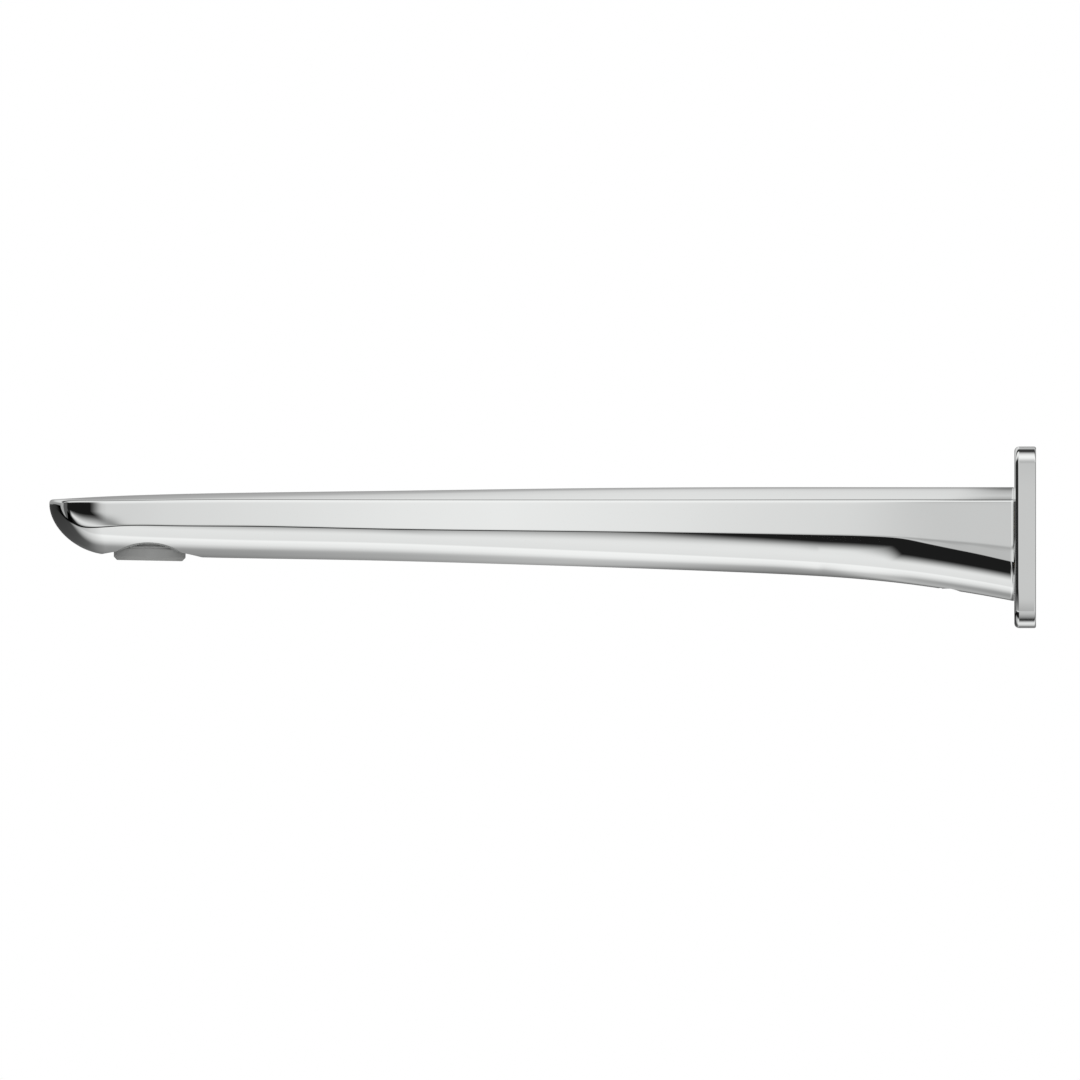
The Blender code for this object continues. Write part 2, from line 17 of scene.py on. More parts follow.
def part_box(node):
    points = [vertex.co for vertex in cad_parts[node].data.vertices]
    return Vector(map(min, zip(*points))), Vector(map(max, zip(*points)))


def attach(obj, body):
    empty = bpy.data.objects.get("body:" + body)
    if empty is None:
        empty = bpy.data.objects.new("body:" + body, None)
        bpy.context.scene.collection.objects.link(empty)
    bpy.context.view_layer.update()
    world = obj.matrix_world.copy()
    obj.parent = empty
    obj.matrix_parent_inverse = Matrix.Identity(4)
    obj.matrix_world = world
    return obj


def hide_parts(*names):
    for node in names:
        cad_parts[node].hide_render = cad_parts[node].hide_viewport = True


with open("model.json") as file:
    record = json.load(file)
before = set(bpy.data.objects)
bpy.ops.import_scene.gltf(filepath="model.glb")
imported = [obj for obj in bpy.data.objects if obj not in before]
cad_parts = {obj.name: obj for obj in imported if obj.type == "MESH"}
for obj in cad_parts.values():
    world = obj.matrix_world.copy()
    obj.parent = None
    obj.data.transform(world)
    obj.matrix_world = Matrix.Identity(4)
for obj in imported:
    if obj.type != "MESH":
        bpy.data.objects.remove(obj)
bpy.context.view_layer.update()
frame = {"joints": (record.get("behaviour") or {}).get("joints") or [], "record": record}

bl_info = {
    "name": "Bath Spout",
    "version": (1, 0, 0),
    "blender": (4, 5, 0),
    "location": "3D View > Sidebar > Spout",
    "description": "Builds a wall mounted bath spout, its aerator and a plain studio",
    "category": "Add Mesh",
}

MM = 0.001

# What the frame says
BODY_LOW, BODY_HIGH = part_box("spout_body")
PLATE_LOW, PLATE_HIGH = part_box("wall_plate")
JOINTS = {joint["name"]: joint for joint in frame["joints"]}
SLOTS = {part["node"]: part["material_slot"] for part in frame["record"]["subparts"]}
BODIES = {node: body for body, nodes in frame["record"]["behaviour"]["bodies"].items()
          for node in nodes}
OUTLET_CENTRE = Vector(JOINTS["aerator_turn"]["pos_m"])
OUTLET_UP = -Vector(JOINTS["aerator_turn"]["axis"]).normalized()
REACH = -BODY_LOW.y
BODY_REAR = -BODY_HIGH.y

# Radii in millimetres that more than one piece shares
PIPE_SOCKET, SOCKET_GROOVE, BLOCK_RADIUS = 7.7, 8.7, 9.5
TUBE_INSIDE, TUBE_OUTSIDE, TUBE_FIT, TUBE_SEAT = 4.0, 5.0, 5.3, 6.9
SCREW_HOLE = 2.7
INSERT_RADIUS = 7.7
FOAM_CORNER = 2.7
# Heights in millimetres above the aerator's rim
WASHER_SEAT, CHAMBER_TOP = 8.0, 14.6

# The picture's width, its middle and how far that lies under the pipe, as shares of the reach
PICTURE_WIDTH, PICTURE_MIDDLE, PICTURE_DROP = 1.0946, 0.5027, 0.0027

# Outlines of the arm in millimetres: (distance from the wall, height or half width)
CROWN_LINE = [(0, 12.7), (40, 12.72), (80, 12.7), (123, 12.36), (161, 11.83), (199, 11.33),
              (224, 10.8), (237, 10.3), (250, 9.55)]
EDGE_LINE = [(0, 9.32), (110, 9.32), (150, 9.4), (185, 9.52), (212, 9.56), (235, 9.35), (250, 9.3)]
CREASE_LINE = [(0, -7.55), (7, -5.97), (14, -4.33), (19, -3.3), (24, -2.27), (29, -1.2), (34, -0.2),
               (39, 0.25), (45, 0.5), (55, 0.7), (85, 1.15), (113, 1.5), (128, 1.65), (150, 1.88),
               (175, 2.32), (200, 2.83), (220, 2.95), (232, 2.9), (239, 2.45), (243.6, 3.3),
               (246.4, 5.6), (248.7, 8.0), (250, 8.3)]
KEEL_LINE = [(0, -17.3), (9, -15.51), (19, -13.78), (34, -11.66), (50, -10.16), (70, -9.08),
             (98, -7.97), (136, -6.74), (174, -5.75), (212, -5.07), (237, -4.3)]
WIDTH_LINE = [(0, 11.5), (55, 11.9), (110, 12.7), (161, 13.4), (205, 13.8), (250, 13.8)]
FACET_LINE = [(0, -3.4), (7, -2.45), (14, -1.6), (24, -0.7), (33, 0.05), (44, 0.7)]
# Between which distances the facet's lean fades out, and the nose's curl fades in and out
LEAN_OUT, CURL_IN, CURL_OUT = (30, 44), (229, 241), (245, 249.5)


# ---------------------------------------------------------------- settings

def length_setting(name, description, default):
    return FloatProperty(name=name, description=description, default=default, unit='LENGTH',
                         subtype='DISTANCE')


def angle_setting(name, description, degrees):
    return FloatProperty(name=name, description=description, default=math.radians(degrees),
                         unit='ROTATION', subtype='ANGLE')


def colour_setting(name, description, default):
    return FloatVectorProperty(name=name, description=description, default=default, subtype='COLOR')


class ArmSettings(bpy.types.PropertyGroup):
    """Sizes of the chrome arm."""
    edge_rounding: length_setting("Edge rounding", "Radius between the crown and the side", 0.9 * MM)
    crease_rounding: length_setting(
        "Crease rounding", "Reach of the soft line between side and underside", 0.25 * MM)
    nose_centre: length_setting(
        "Nose centre", "Distance from the wall where the nose starts to turn", 235.5 * MM)
    nose_power: FloatProperty(
        name="Nose bluntness", description="2 is an ellipse in plan, more is blunter", default=2.3)
    prow_power: FloatProperty(
        name="Prow fullness", description="2 is an ellipse in profile, less is leaner", default=1.83)
    facet_lean: angle_setting("Facet lean", "How far the lower side leans in near the wall", 3.5)
    hull_start: FloatProperty(
        name="Hull start", description="Least sine of the angle at which the underside's arc starts",
        default=0.12)
    nose_curl: length_setting("Nose curl", "How far the side curls under at the nose", 0.16 * MM)
    joint_cover: length_setting("Joint cover", "How far the arm closes the gap to the plate", 0.24 * MM)
    wall: length_setting("Wall", "Thickness of the casting", 1.8 * MM)


class PlateSettings(bpy.types.PropertyGroup):
    """Sizes of the wall plate and its gasket."""
    corner: length_setting("Corner", "Radius of the plate's corners", 4.4 * MM)
    front_rounding: length_setting("Front rounding", "Radius of the front edge", 1.2 * MM)
    back_rounding: length_setting("Back rounding", "Radius of the back edge", 0.45 * MM)


class OutletSettings(bpy.types.PropertyGroup):
    """Sizes of the aerator and of the recess it stands in."""
    ring_radius: length_setting("Ring radius", "Outer radius of the aerator's ring", 9.1 * MM)
    chamfer: length_setting("Chamfer", "Bevel round the ring's rim", 0.85 * MM)
    thread_pitch: length_setting("Thread pitch", "Rise of the ring's thread in one turn", 1.0 * MM)
    recess_slope: angle_setting("Recess slope", "Slope of the shallow cone round the ring", 17.5)
    grid_cells: IntProperty(
        name="Grid rings", description="Rings of honeycomb cells round the middle one", default=4)


class FinishSettings(bpy.types.PropertyGroup):
    """Colours of the finishes."""
    chrome: colour_setting("Chrome", "Colour of the polished chrome", (0.870, 0.882, 0.874))
    ring: colour_setting("Aerator ring", "Colour of the satin grey ring", (0.25, 0.253, 0.25))
    brass: colour_setting("Brass", "Colour of the machined brass", (0.72, 0.53, 0.26))


class StudioSettings(bpy.types.PropertyGroup):
    """Camera, floor and light."""
    frame_width: length_setting("Picture width", "Width that the picture takes in",
                                REACH * PICTURE_WIDTH)
    floor_drop: length_setting("Floor drop", "Depth of the floor under the spout", 0.30)
    tent_radius: length_setting("Tent radius", "Radius of the light tent that the chrome reflects", 1.5)


class SpoutSettings(bpy.types.PropertyGroup):
    """All the settings, in groups."""
    arm: PointerProperty(type=ArmSettings)
    plate: PointerProperty(type=PlateSettings)
    outlet: PointerProperty(type=OutletSettings)
    finish: PointerProperty(type=FinishSettings)
    studio: PointerProperty(type=StudioSettings)


def settings():
    return bpy.context.scene.bath_spout


# ---------------------------------------------------------------- grid surfaces

def smooth_curve(points, at):
    """Natural cubic spline through (distance, value) points: both its slope and its bend run on
    smoothly through every point, and the bend is zero at the two ends."""
    xs, ys = np.array(points, float).T
    gap, rise = np.diff(xs), np.diff(ys)
    count = len(xs)
    system = np.eye(count)
    right = np.zeros(count)
    for i in range(1, count - 1):
        system[i, i - 1:i + 2] = gap[i - 1], 2 * (gap[i - 1] + gap[i]), gap[i]
        right[i] = 6 * (rise[i] / gap[i] - rise[i - 1] / gap[i - 1])
    bend = np.linalg.solve(system, right)
    at = np.clip(np.asarray(at, float), xs[0], xs[-1])
    i = np.clip(np.searchsorted(xs, at, side="right") - 1, 0, count - 2)
    before, after, step = at - xs[i], xs[i + 1] - at, gap[i]
    return ((bend[i] * after ** 3 + bend[i + 1] * before ** 3) / (6 * step)
            + (ys[i] / step - bend[i] * step / 6) * after
            + (ys[i + 1] / step - bend[i + 1] * step / 6) * before)


def ease(x, start, end):
    """0 before start, 1 after end, and an S-shaped cubic in between."""
    t = np.clip((x - start) / (end - start), 0.0, 1.0)
    return t * t * (3 - 2 * t)


def grid_mesh(name, points, wrap_rows=False):
    """Mesh object from a grid of points (rows, columns, 3) in metres: each cell is one quad. Columns,
    and rows that wrap, join last to first; points that fall together, as at a pole, become one."""
    rows, columns = points.shape[:2]
    index = np.arange(rows * columns).reshape(rows, columns)
    if wrap_rows:
        index = np.vstack((index, index[:1]))
    index = np.hstack((index, index[:, :1]))
    quads = np.stack((index[:-1, :-1], index[1:, :-1], index[1:, 1:], index[:-1, 1:]), axis=-1)
    piece = linked(name, points.reshape(-1, 3), quads.reshape(-1, 4))
    mesh = bmesh.new()
    mesh.from_mesh(piece.data)
    bmesh.ops.remove_doubles(mesh, verts=mesh.verts, dist=1e-7)
    bmesh.ops.dissolve_degenerate(mesh, edges=mesh.edges, dist=1e-8)
    bmesh.ops.recalc_face_normals(mesh, faces=mesh.faces)
    mesh.to_mesh(piece.data)
    mesh.free()
    smooth(piece)
    return piece


def linked(name, points, faces):
    """Mesh object from points and faces, in the scene at the origin."""
    data = bpy.data.meshes.new(name)
    data.from_pydata(points, [], faces)
    piece = bpy.data.objects.new(name, data)
    bpy.context.scene.collection.objects.link(piece)
    return piece


def smooth(piece, sharp=30.0):
    """Smooth shading, with edges that turn by more than sharp degrees left crisp."""
    piece.data.shade_smooth()
    piece.data.set_sharp_from_angle(angle=math.radians(sharp))


def rounded_loop(corners, steps=5):
    """Closed outline (n, 2) from corners (a, b, radius): each corner is a parabola that leaves its
    sides at the corner's radius, so it is as soft as an arc of about that radius."""
    spots = np.array([corner[:2] for corner in corners], float)
    outline = []
    for i, (_, _, radius) in enumerate(corners):
        here, before, after = spots[i], spots[i - 1], spots[(i + 1) % len(spots)]
        if radius == 0:
            outline.append(here[None])
            continue
        back, on = before - here, after - here
        lengths = np.linalg.norm(back), np.linalg.norm(on)
        reach = min(radius, 0.45 * min(lengths))
        start, end = here + back / lengths[0] * reach, here + on / lengths[1] * reach
        t = np.linspace(0, 1, steps)[:, None]
        outline.append((1 - t) ** 2 * start + 2 * t * (1 - t) * here + t ** 2 * end)
    return np.vstack(outline)


def turned_grid(outline, steps):
    """Grid of a solid of revolution: the outline (radius, height) is carried round local Z."""
    turn = np.linspace(0, math.tau, steps, endpoint=False)
    radius, height = outline[:, :1], outline[:, 1:]
    return np.stack((radius * np.cos(turn), radius * np.sin(turn), height + 0 * turn), axis=-1)


def turned(name, corners, steps=96, place=Matrix.Identity(4), thread=None):
    """Turned piece from corners (radius, height, rounding) in millimetres, wound round local Z.
    thread is (pitch, depth, low, high, core): between those heights, and outside the core radius,
    the surface is pressed in by a triangle wave that climbs one pitch a turn and fades at both ends."""
    outline = rounded_loop(corners)
    if thread:
        outline = refine(outline, thread)
    grid = turned_grid(outline, steps)
    if thread:
        pitch, depth, low, high, core = thread
        radius = np.hypot(grid[..., 0], grid[..., 1])
        turn = np.arctan2(grid[..., 1], grid[..., 0]) / math.tau
        wave = np.abs(((grid[..., 2] / pitch - turn) % 1.0) * 2 - 1)
        rising = ease(grid[..., 2], low, low + pitch / 2)
        falling = 1 - ease(grid[..., 2], high - pitch / 2, high)
        press = np.where(radius > core, depth * wave * rising * falling, 0.0)
        grid[..., :2] *= ((radius - press) / np.maximum(radius, 1e-9))[..., None]
    return grid_mesh(name, placed(grid * MM, place), wrap_rows=True)


def refine(outline, thread):
    """Adds points along the long straight side that carries a thread, twelve to a pitch."""
    pitch, *_, core = thread
    following = np.roll(outline, -1, axis=0)
    result = []
    for here, after in zip(outline, following):
        result.append(here[None])
        upright = abs(here[0] - after[0]) < 1e-6 and here[0] > core
        if upright and abs(after[1] - here[1]) > pitch:
            count = int(12 * abs(after[1] - here[1]) / pitch)
            t = np.linspace(0, 1, count + 1)[1:-1, None]
            result.append(here + (after - here) * t)
    return np.vstack(result)


def placed(points, place):
    """Points (..., 3) moved by a 4 by 4 matrix."""
    matrix = np.array(place)
    return points @ matrix[:3, :3].T + matrix[:3, 3]


def drill(name, radius, low, high, steps, place):
    """Closed cylinder on local Z for cutting a round hole."""
    return turned(name, [(0, low, 0), (radius, low, 0), (radius, high, 0), (0, high, 0)], steps, place)


def axis_frame(centre, along):
    """Matrix whose local Z runs along a direction through centre, with local X kept across."""
    z = Vector(along).normalized()
    x = Vector((1, 0, 0))
    y = z.cross(x)
    return Matrix.Translation(centre) @ Matrix((x, y, z)).transposed().to_4x4()


def cut(piece, *cutters):
    """Takes closed cutters away from piece for good, and removes them."""
    for cutter in cutters:
        modifier = piece.modifiers.new("cut", 'BOOLEAN')
        modifier.operation = 'DIFFERENCE'
        modifier.solver = 'EXACT'
        modifier.object = cutter
    bpy.context.view_layer.update()
    evaluated = piece.evaluated_get(bpy.context.evaluated_depsgraph_get())
    finished = bpy.data.meshes.new_from_object(evaluated)
    piece.modifiers.clear()
    old = piece.data
    piece.data = finished
    bpy.data.meshes.remove(old)
    for cutter in cutters:
        bpy.data.objects.remove(cutter)


# ---------------------------------------------------------------- finishes

def new_material(name, colour, roughness, metallic=0.0):
    """Principled material, with its node tree and shader."""
    material = bpy.data.materials.new(name)
    material.use_nodes = True
    shader = material.node_tree.nodes["Principled BSDF"]
    shader.inputs["Base Color"].default_value = (*colour, 1.0)
    shader.inputs["Roughness"].default_value = roughness
    shader.inputs["Metallic"].default_value = metallic
    return material, material.node_tree, shader


def noise(tree, scale, detail=3.0, stretch=(1.0, 1.0, 1.0)):
    """Noise on Object coordinates: scale is in cells to a metre, stretch squeezes it on an axis."""
    place = tree.nodes.new("ShaderNodeTexCoord")
    mapping = tree.nodes.new("ShaderNodeMapping")
    mapping.inputs["Scale"].default_value = stretch
    texture = tree.nodes.new("ShaderNodeTexNoise")
    texture.inputs["Scale"].default_value = scale
    texture.inputs["Detail"].default_value = detail
    tree.links.new(place.outputs["Object"], mapping.inputs["Vector"])
    tree.links.new(mapping.outputs["Vector"], texture.inputs["Vector"])
    return texture.outputs["Fac"]


def spread(tree, fac, low, high):
    """Stretches the middle of a noise's range to run from low to high."""
    node = tree.nodes.new("ShaderNodeMapRange")
    node.inputs["From Min"].default_value = 0.3
    node.inputs["From Max"].default_value = 0.7
    node.inputs["To Min"].default_value = low
    node.inputs["To Max"].default_value = high
    tree.links.new(fac, node.inputs["Value"])
    return node.outputs["Result"]


def two_tone(tree, fac, first, second):
    """Mixes two colours by a 0 to 1 value."""
    node = tree.nodes.new("ShaderNodeMix")
    node.data_type = 'RGBA'
    node.inputs["A"].default_value = (*first, 1.0)
    node.inputs["B"].default_value = (*second, 1.0)
    tree.links.new(fac, node.inputs["Factor"])
    return node.outputs["Result"]


def bump(tree, shader, fac, depth):
    """Raises the surface by fac times depth, in metres."""
    node = tree.nodes.new("ShaderNodeBump")
    node.inputs["Distance"].default_value = depth
    tree.links.new(fac, node.inputs["Height"])
    tree.links.new(node.outputs["Normal"], shader.inputs["Normal"])


def shade(colour, factor):
    """A colour made lighter or darker."""
    return tuple(min(channel * factor, 1.0) for channel in colour)


def chrome_finish():
    """Polished chrome: a near mirror with faint clouding in its colour and gloss."""
    colour = tuple(settings().finish.chrome)
    material, tree, shader = new_material("polished_chrome", colour, 0.03, 1.0)
    clouds = noise(tree, 38.0, 2.0)
    tree.links.new(two_tone(tree, clouds, shade(colour, 0.985), shade(colour, 1.012)),
                   shader.inputs["Base Color"])
    tree.links.new(spread(tree, noise(tree, 90.0, 4.0), 0.012, 0.03), shader.inputs["Roughness"])
    return material


def machined_finish(name, colour, grain, roughness):
    """Turned or drawn metal: fine tool marks across its length, and slight clouding."""
    material, tree, shader = new_material(name, colour, roughness, 1.0)
    marks = noise(tree, 2600.0, 2.0, grain)
    tree.links.new(two_tone(tree, noise(tree, 120.0), shade(colour, 0.82), shade(colour, 1.08)),
                   shader.inputs["Base Color"])
    tree.links.new(spread(tree, marks, roughness - 0.08, roughness + 0.1), shader.inputs["Roughness"])
    bump(tree, shader, marks, 0.00001)
    return material


def moulded_finish(name, colour, roughness):
    """Moulded plastic: a fine spark-eroded texture and a little tone variation."""
    material, tree, shader = new_material(name, colour, roughness)
    grain = noise(tree, 3200.0, 2.0)
    tree.links.new(two_tone(tree, noise(tree, 260.0), shade(colour, 0.9), shade(colour, 1.08)),
                   shader.inputs["Base Color"])
    tree.links.new(spread(tree, grain, roughness - 0.05, roughness + 0.07), shader.inputs["Roughness"])
    bump(tree, shader, grain, 0.000015)
    return material


def rubber_finish(name, colour, pores=900.0):
    """Rubber or foam: matt, with pores."""
    material, tree, shader = new_material(name, colour, 0.75)
    cells = noise(tree, pores, 4.0)
    tree.links.new(two_tone(tree, cells, shade(colour, 0.6), shade(colour, 1.6)),
                   shader.inputs["Base Color"])
    tree.links.new(spread(tree, cells, 0.62, 0.88), shader.inputs["Roughness"])
    bump(tree, shader, cells, 0.00006)
    return material


FINISH_MAKERS = {
    "chrome": chrome_finish,
    "brass": lambda: machined_finish("machined_brass", tuple(settings().finish.brass),
                                     (0.05, 1.0, 0.05), 0.28),
    "copper": lambda: machined_finish("drawn_copper", (0.72, 0.40, 0.27), (1.0, 0.04, 1.0), 0.34),
    "stainless": lambda: machined_finish("stainless_steel", (0.56, 0.57, 0.58), (1.0, 1.0, 0.1), 0.3),
    "aerator_grey": lambda: moulded_finish("satin_grey", tuple(settings().finish.ring), 0.38),
    "grid_grey": lambda: moulded_finish("grid_grey", (0.20, 0.205, 0.205), 0.42),
    "insert_white": lambda: moulded_finish("insert_white", (0.75, 0.76, 0.74), 0.4),
    "seal_rubber": lambda: rubber_finish("seal_rubber", (0.028, 0.028, 0.03)),
    "foam": lambda: rubber_finish("closed_cell_foam", (0.10, 0.10, 0.11), 1500.0),
}


def dress(piece, slot):
    """Gives a piece the finish of a record slot; each finish is made once."""
    made = bpy.data.materials.get("finish_" + slot)
    if made is None:
        made = FINISH_MAKERS[slot]()
        made.name = "finish_" + slot
    piece.data.materials.clear()
    piece.data.materials.append(made)


# ---------------------------------------------------------------- the arm's surface

def arm_profile(size, row_s, extent, ahead, nose, inset=0.0):
    """Half outlines of the arm, one for each row: (radial distance, height) from the middle of the
    crown round to the keel. row_s is where the row's plane starts, extent how far it reaches out,
    ahead how much of that is along the spout, and nose runs from 0 at the side to 1 at the very front.

    The crown is a parabola, rounded into an upright side; the side leans in below the facet near the
    wall and curls under round the nose; a small parabola softens the crease; and the underside is a
    circular arc from the crease to the keel, which turns into a superellipse towards the front."""
    rounding = size.edge_rounding / MM
    s, reach, m = row_s[:, None], extent[:, None] - inset, nose[:, None]
    front_s = s + ahead[:, None]
    edge = smooth_curve(EDGE_LINE, front_s) - inset

    def crown(fraction):
        line = smooth_curve(CROWN_LINE, s + fraction * ahead[:, None]) - inset
        return edge + (line - edge) * ((1 - fraction ** 2) * (1 - m) + m)

    fall = (crown(0.999 + 0 * s) - crown(1.0 + 0 * s)) / (0.001 * reach)
    first = np.pi / 2 - np.arctan(fall)
    crown_end = 1 - rounding * (1 - np.cos(first)) / reach
    centre = crown(crown_end) - rounding * np.sin(first)
    fraction = crown_end * np.linspace(0, 1, 20) ** 0.9
    outline = [(fraction * reach, crown(fraction))]

    turn = first * (1 - np.linspace(0, 1, 11)[1:])
    outline.append((reach - rounding + rounding * np.cos(turn), centre + rounding * np.sin(turn)))

    keel_slope = (smooth_curve(KEEL_LINE, s) - smooth_curve(KEEL_LINE, s - 0.1)) / 0.1
    lowest = smooth_curve(KEEL_LINE, s) + inset
    crease = np.minimum(smooth_curve(CREASE_LINE, front_s), centre - 0.25)
    facet = smooth_curve(FACET_LINE, s)
    lean = np.tan(size.facet_lean) * (1 - ease(s, *LEAN_OUT))
    curl = size.nose_curl / MM * ease(front_s, *CURL_IN) * (1 - ease(front_s, *CURL_OUT))
    foot = crease + size.crease_rounding / MM * (1 - 0.5 * m)
    foot = np.minimum(foot, centre - 0.05)

    def side(height):
        down = np.clip((centre - height) / (centre - crease), 0, 1)
        upright = 0.3
        curled = np.clip((down - upright) / (1 - upright), 0, 1) ** 2.2
        return reach - lean * np.clip(facet - height, 0, None) - curl * curled

    height = centre + (foot - centre) * np.linspace(0, 1, 18)[1:]
    outline.append((side(height), height))

    corner = side(crease)
    rise = keel_slope * ahead[:, None]
    depth = crease - lowest - rise
    radius = (corner ** 2 + depth ** 2) / (2 * depth)
    start = np.arcsin(np.clip(1 - depth / radius, size.hull_start, 1))
    turn = start + (np.pi / 2 - start) * np.linspace(0.03, 1, 44) ** 1.35
    fraction = np.cos(turn) / np.cos(start)
    fraction[:, -1] = 0.0
    arc = (1 - np.sin(turn)) / (1 - np.sin(start))
    front = 1 - (1 - fraction ** size.prow_power) ** (1 / size.prow_power)
    under = lowest + rise * fraction + depth * ((1 - m) * arc + m * front)

    t = np.linspace(0, 1, 7)[1:-1]
    hull_x, hull_z = fraction[:, :1] * corner, under[:, :1]
    outline.append(((1 - t) ** 2 * side(foot) + 2 * t * (1 - t) * corner + t ** 2 * hull_x,
                    (1 - t) ** 2 * foot + 2 * t * (1 - t) * crease + t ** 2 * hull_z))
    outline.append((fraction * corner, under))
    return np.hstack([part[0] for part in outline]), np.hstack([part[1] for part in outline])


def full_rings(radial, height, start_s, direction_x, direction_s):
    """Rings (rows, columns, 3) in millimetres from half outlines, with the other half mirrored."""
    x, s = radial * direction_x[:, None], start_s[:, None] + radial * direction_s[:, None]
    half = np.stack((x, -s, height), axis=-1)
    other = half[:, -2:0:-1] * np.array((-1.0, 1.0, 1.0))
    return np.concatenate((half, other), axis=1)


def straight_rings(size, stations, inset=0.0):
    stations = np.asarray(stations, float)
    width = smooth_curve(WIDTH_LINE, stations)
    level = np.zeros_like(stations)
    radial, height = arm_profile(size, stations, width, level, level, inset)
    return full_rings(radial, height, stations, np.ones_like(stations), level)


def nose_rings(size, count):
    """Rings that turn about the upright through the nose's centre, from side to front: the plan
    outline is a superellipse, x and s being powers of the cosine and sine of one angle."""
    centre = size.nose_centre / MM
    width = smooth_curve(WIDTH_LINE, np.array([centre]))[0]
    turn = np.linspace(0, np.pi / 2, count)
    x = width * np.cos(turn) ** (2 / size.nose_power)
    s = (REACH / MM - centre) * np.sin(turn) ** (2 / size.nose_power)
    x[-1] = 0.0
    extent = np.hypot(x, s)
    start = np.full(count, centre)
    radial, height = arm_profile(size, start, extent, s, np.sin(turn) ** 2)
    return full_rings(radial, height, start, x / extent, s / extent)


def shrunk(ring, inset):
    """A flat ring moved in by inset along its own normals."""
    ahead = np.roll(ring, -1, axis=0) - np.roll(ring, 1, axis=0)
    normal = np.stack((-ahead[:, 2], 0 * ahead[:, 0], ahead[:, 0]), axis=-1)
    normal /= np.linalg.norm(normal, axis=1, keepdims=True)
    outward = np.sign((normal * (ring - ring.mean(axis=0))).sum())
    return ring - normal * outward * inset


def make_arm():
    """The chrome arm: one closed surface from the nose back to the wall end, in at the round socket
    and along the hollow; the outlet, the tube's seat and the screw's hole are then cut."""
    size = settings().arm
    rear = BODY_REAR / MM - size.joint_cover / MM
    centre = size.nose_centre / MM
    socket, socket_end, hollow_end, soft = BLOCK_RADIUS + 0.3, 36.3, 195.0, 0.2

    stations = np.concatenate((np.arange(rear + soft, 60, 0.8), np.arange(60, 224, 1.6),
                               np.linspace(224, centre, 14)))
    outer = np.concatenate((straight_rings(size, stations), nose_rings(size, 56)[1:]))
    first = straight_rings(size, [rear + soft])[0]
    soft_edge = []
    for turn in np.radians((90, 65, 40, 20)):
        ring = shrunk(first, soft * (1 - math.cos(turn)))
        ring[:, 1] = -(rear + soft - soft * math.sin(turn))
        soft_edge.append(ring)
    angle = np.arctan2(first[:, 2], first[:, 0])
    circle = np.stack((socket * np.cos(angle), 0 * angle - rear, socket * np.sin(angle)), axis=-1)
    circle_end = circle - np.array((0, socket_end - rear, 0))
    hollow = straight_rings(size, np.linspace(socket_end, hollow_end, 30), size.wall / MM)
    tip = np.broadcast_to(hollow[-1].mean(axis=0), hollow[-1].shape)
    rings = np.concatenate((tip[None], hollow[::-1], circle_end[None], circle[None],
                            np.array(soft_edge), outer))
    arm = grid_mesh("arm_casting", rings * MM)
    cut(arm, *arm_cutters())
    smooth(arm, 24)
    return arm


def arm_cutters():
    """Closed solids for the outlet and its recess, the tube's seat, the passage and the screw."""
    outlet = settings().outlet
    bore = outlet.ring_radius / MM + 0.3
    shoulder, low = 2.3, -4.0
    recess_foot = bore + (shoulder - low) / math.tan(outlet.recess_slope)
    opening = turned("cut_outlet", [(0, low, 0), (recess_foot, low, 0), (bore, shoulder, 0.25),
                                    (bore, WASHER_SEAT, 0), (INSERT_RADIUS, WASHER_SEAT, 0),
                                    (INSERT_RADIUS, CHAMBER_TOP, 0), (0, CHAMBER_TOP, 0)],
                     128, axis_frame(OUTLET_CENTRE, OUTLET_UP))
    along, length = tube_axis()
    end, seal_end, seat_end = length + 0.3, length - 8.4, length - 20
    seat = turned("cut_tube_seat", [(0, end, 0), (TUBE_FIT, end, 0), (TUBE_FIT, seal_end, 0),
                                    (TUBE_SEAT, seal_end, 0), (TUBE_SEAT, seat_end, 0),
                                    (0, seat_end, 0)], 48, along)
    # A flat oval way from the end of the tube into the chamber over the aerator
    passage_start, passage_height, passage_length, half_width, flatness = 205.0, 5.4, 17, 6.5, 0.5
    passage = drill("cut_passage", half_width, 0, passage_length, 48,
                    axis_frame((0, -passage_start * MM, passage_height * MM), (0, -1, 0))
                    @ Matrix.Diagonal((1.0, flatness, 1.0, 1.0)))
    hole = drill("cut_screw_hole", SCREW_HOLE, -5, 5, 48, screw_place())
    return opening, seat, passage, hole


def tube_axis():
    """Frame on the water tube's axis, which climbs from the inlet block to the outlet, and the
    tube's length in millimetres."""
    low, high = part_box("water_tube")
    rise = high.z - low.z - 2 * TUBE_OUTSIDE * MM
    run = high.y - low.y
    return axis_frame((0, high.y, 0), (0, -run, rise)), math.hypot(rise, run) / MM


def screw_place():
    low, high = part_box("set_screw")
    return Matrix.Translation((low + high) / 2)


# ---------------------------------------------------------------- plate and gasket

def square_ring(half, corner, angle):
    """Rounded square outline at each angle: the corner arcs are centred half - corner from the
    middle, and a ray from the middle meets either a straight side or the nearest corner's arc."""
    c, s = np.abs(np.cos(angle)), np.abs(np.sin(angle))
    inner = half - corner
    straight = half / np.maximum(c, s)
    dot = inner * (c + s)
    arc = dot + np.sqrt(np.maximum(dot ** 2 - 2 * inner ** 2 + corner ** 2, 0.0))
    on_arc = np.minimum(straight * c, straight * s) > inner
    length = np.where(on_arc, arc, straight)
    return np.stack((length * np.cos(angle), length * np.sin(angle)), axis=-1)


def plate_angles(half, corner, steps=14):
    """Angles that put a point on every corner's two ends, with even steps round its arc."""
    inner = half - corner
    turn = np.linspace(0, np.pi / 2, steps)
    one = np.arctan2(inner + corner * np.sin(turn), inner + corner * np.cos(turn))
    side = np.linspace(-one[0], one[0], 9)[1:-1]
    quarter = np.concatenate((side, one))
    return np.concatenate([quarter + k * np.pi / 2 for k in range(4)])


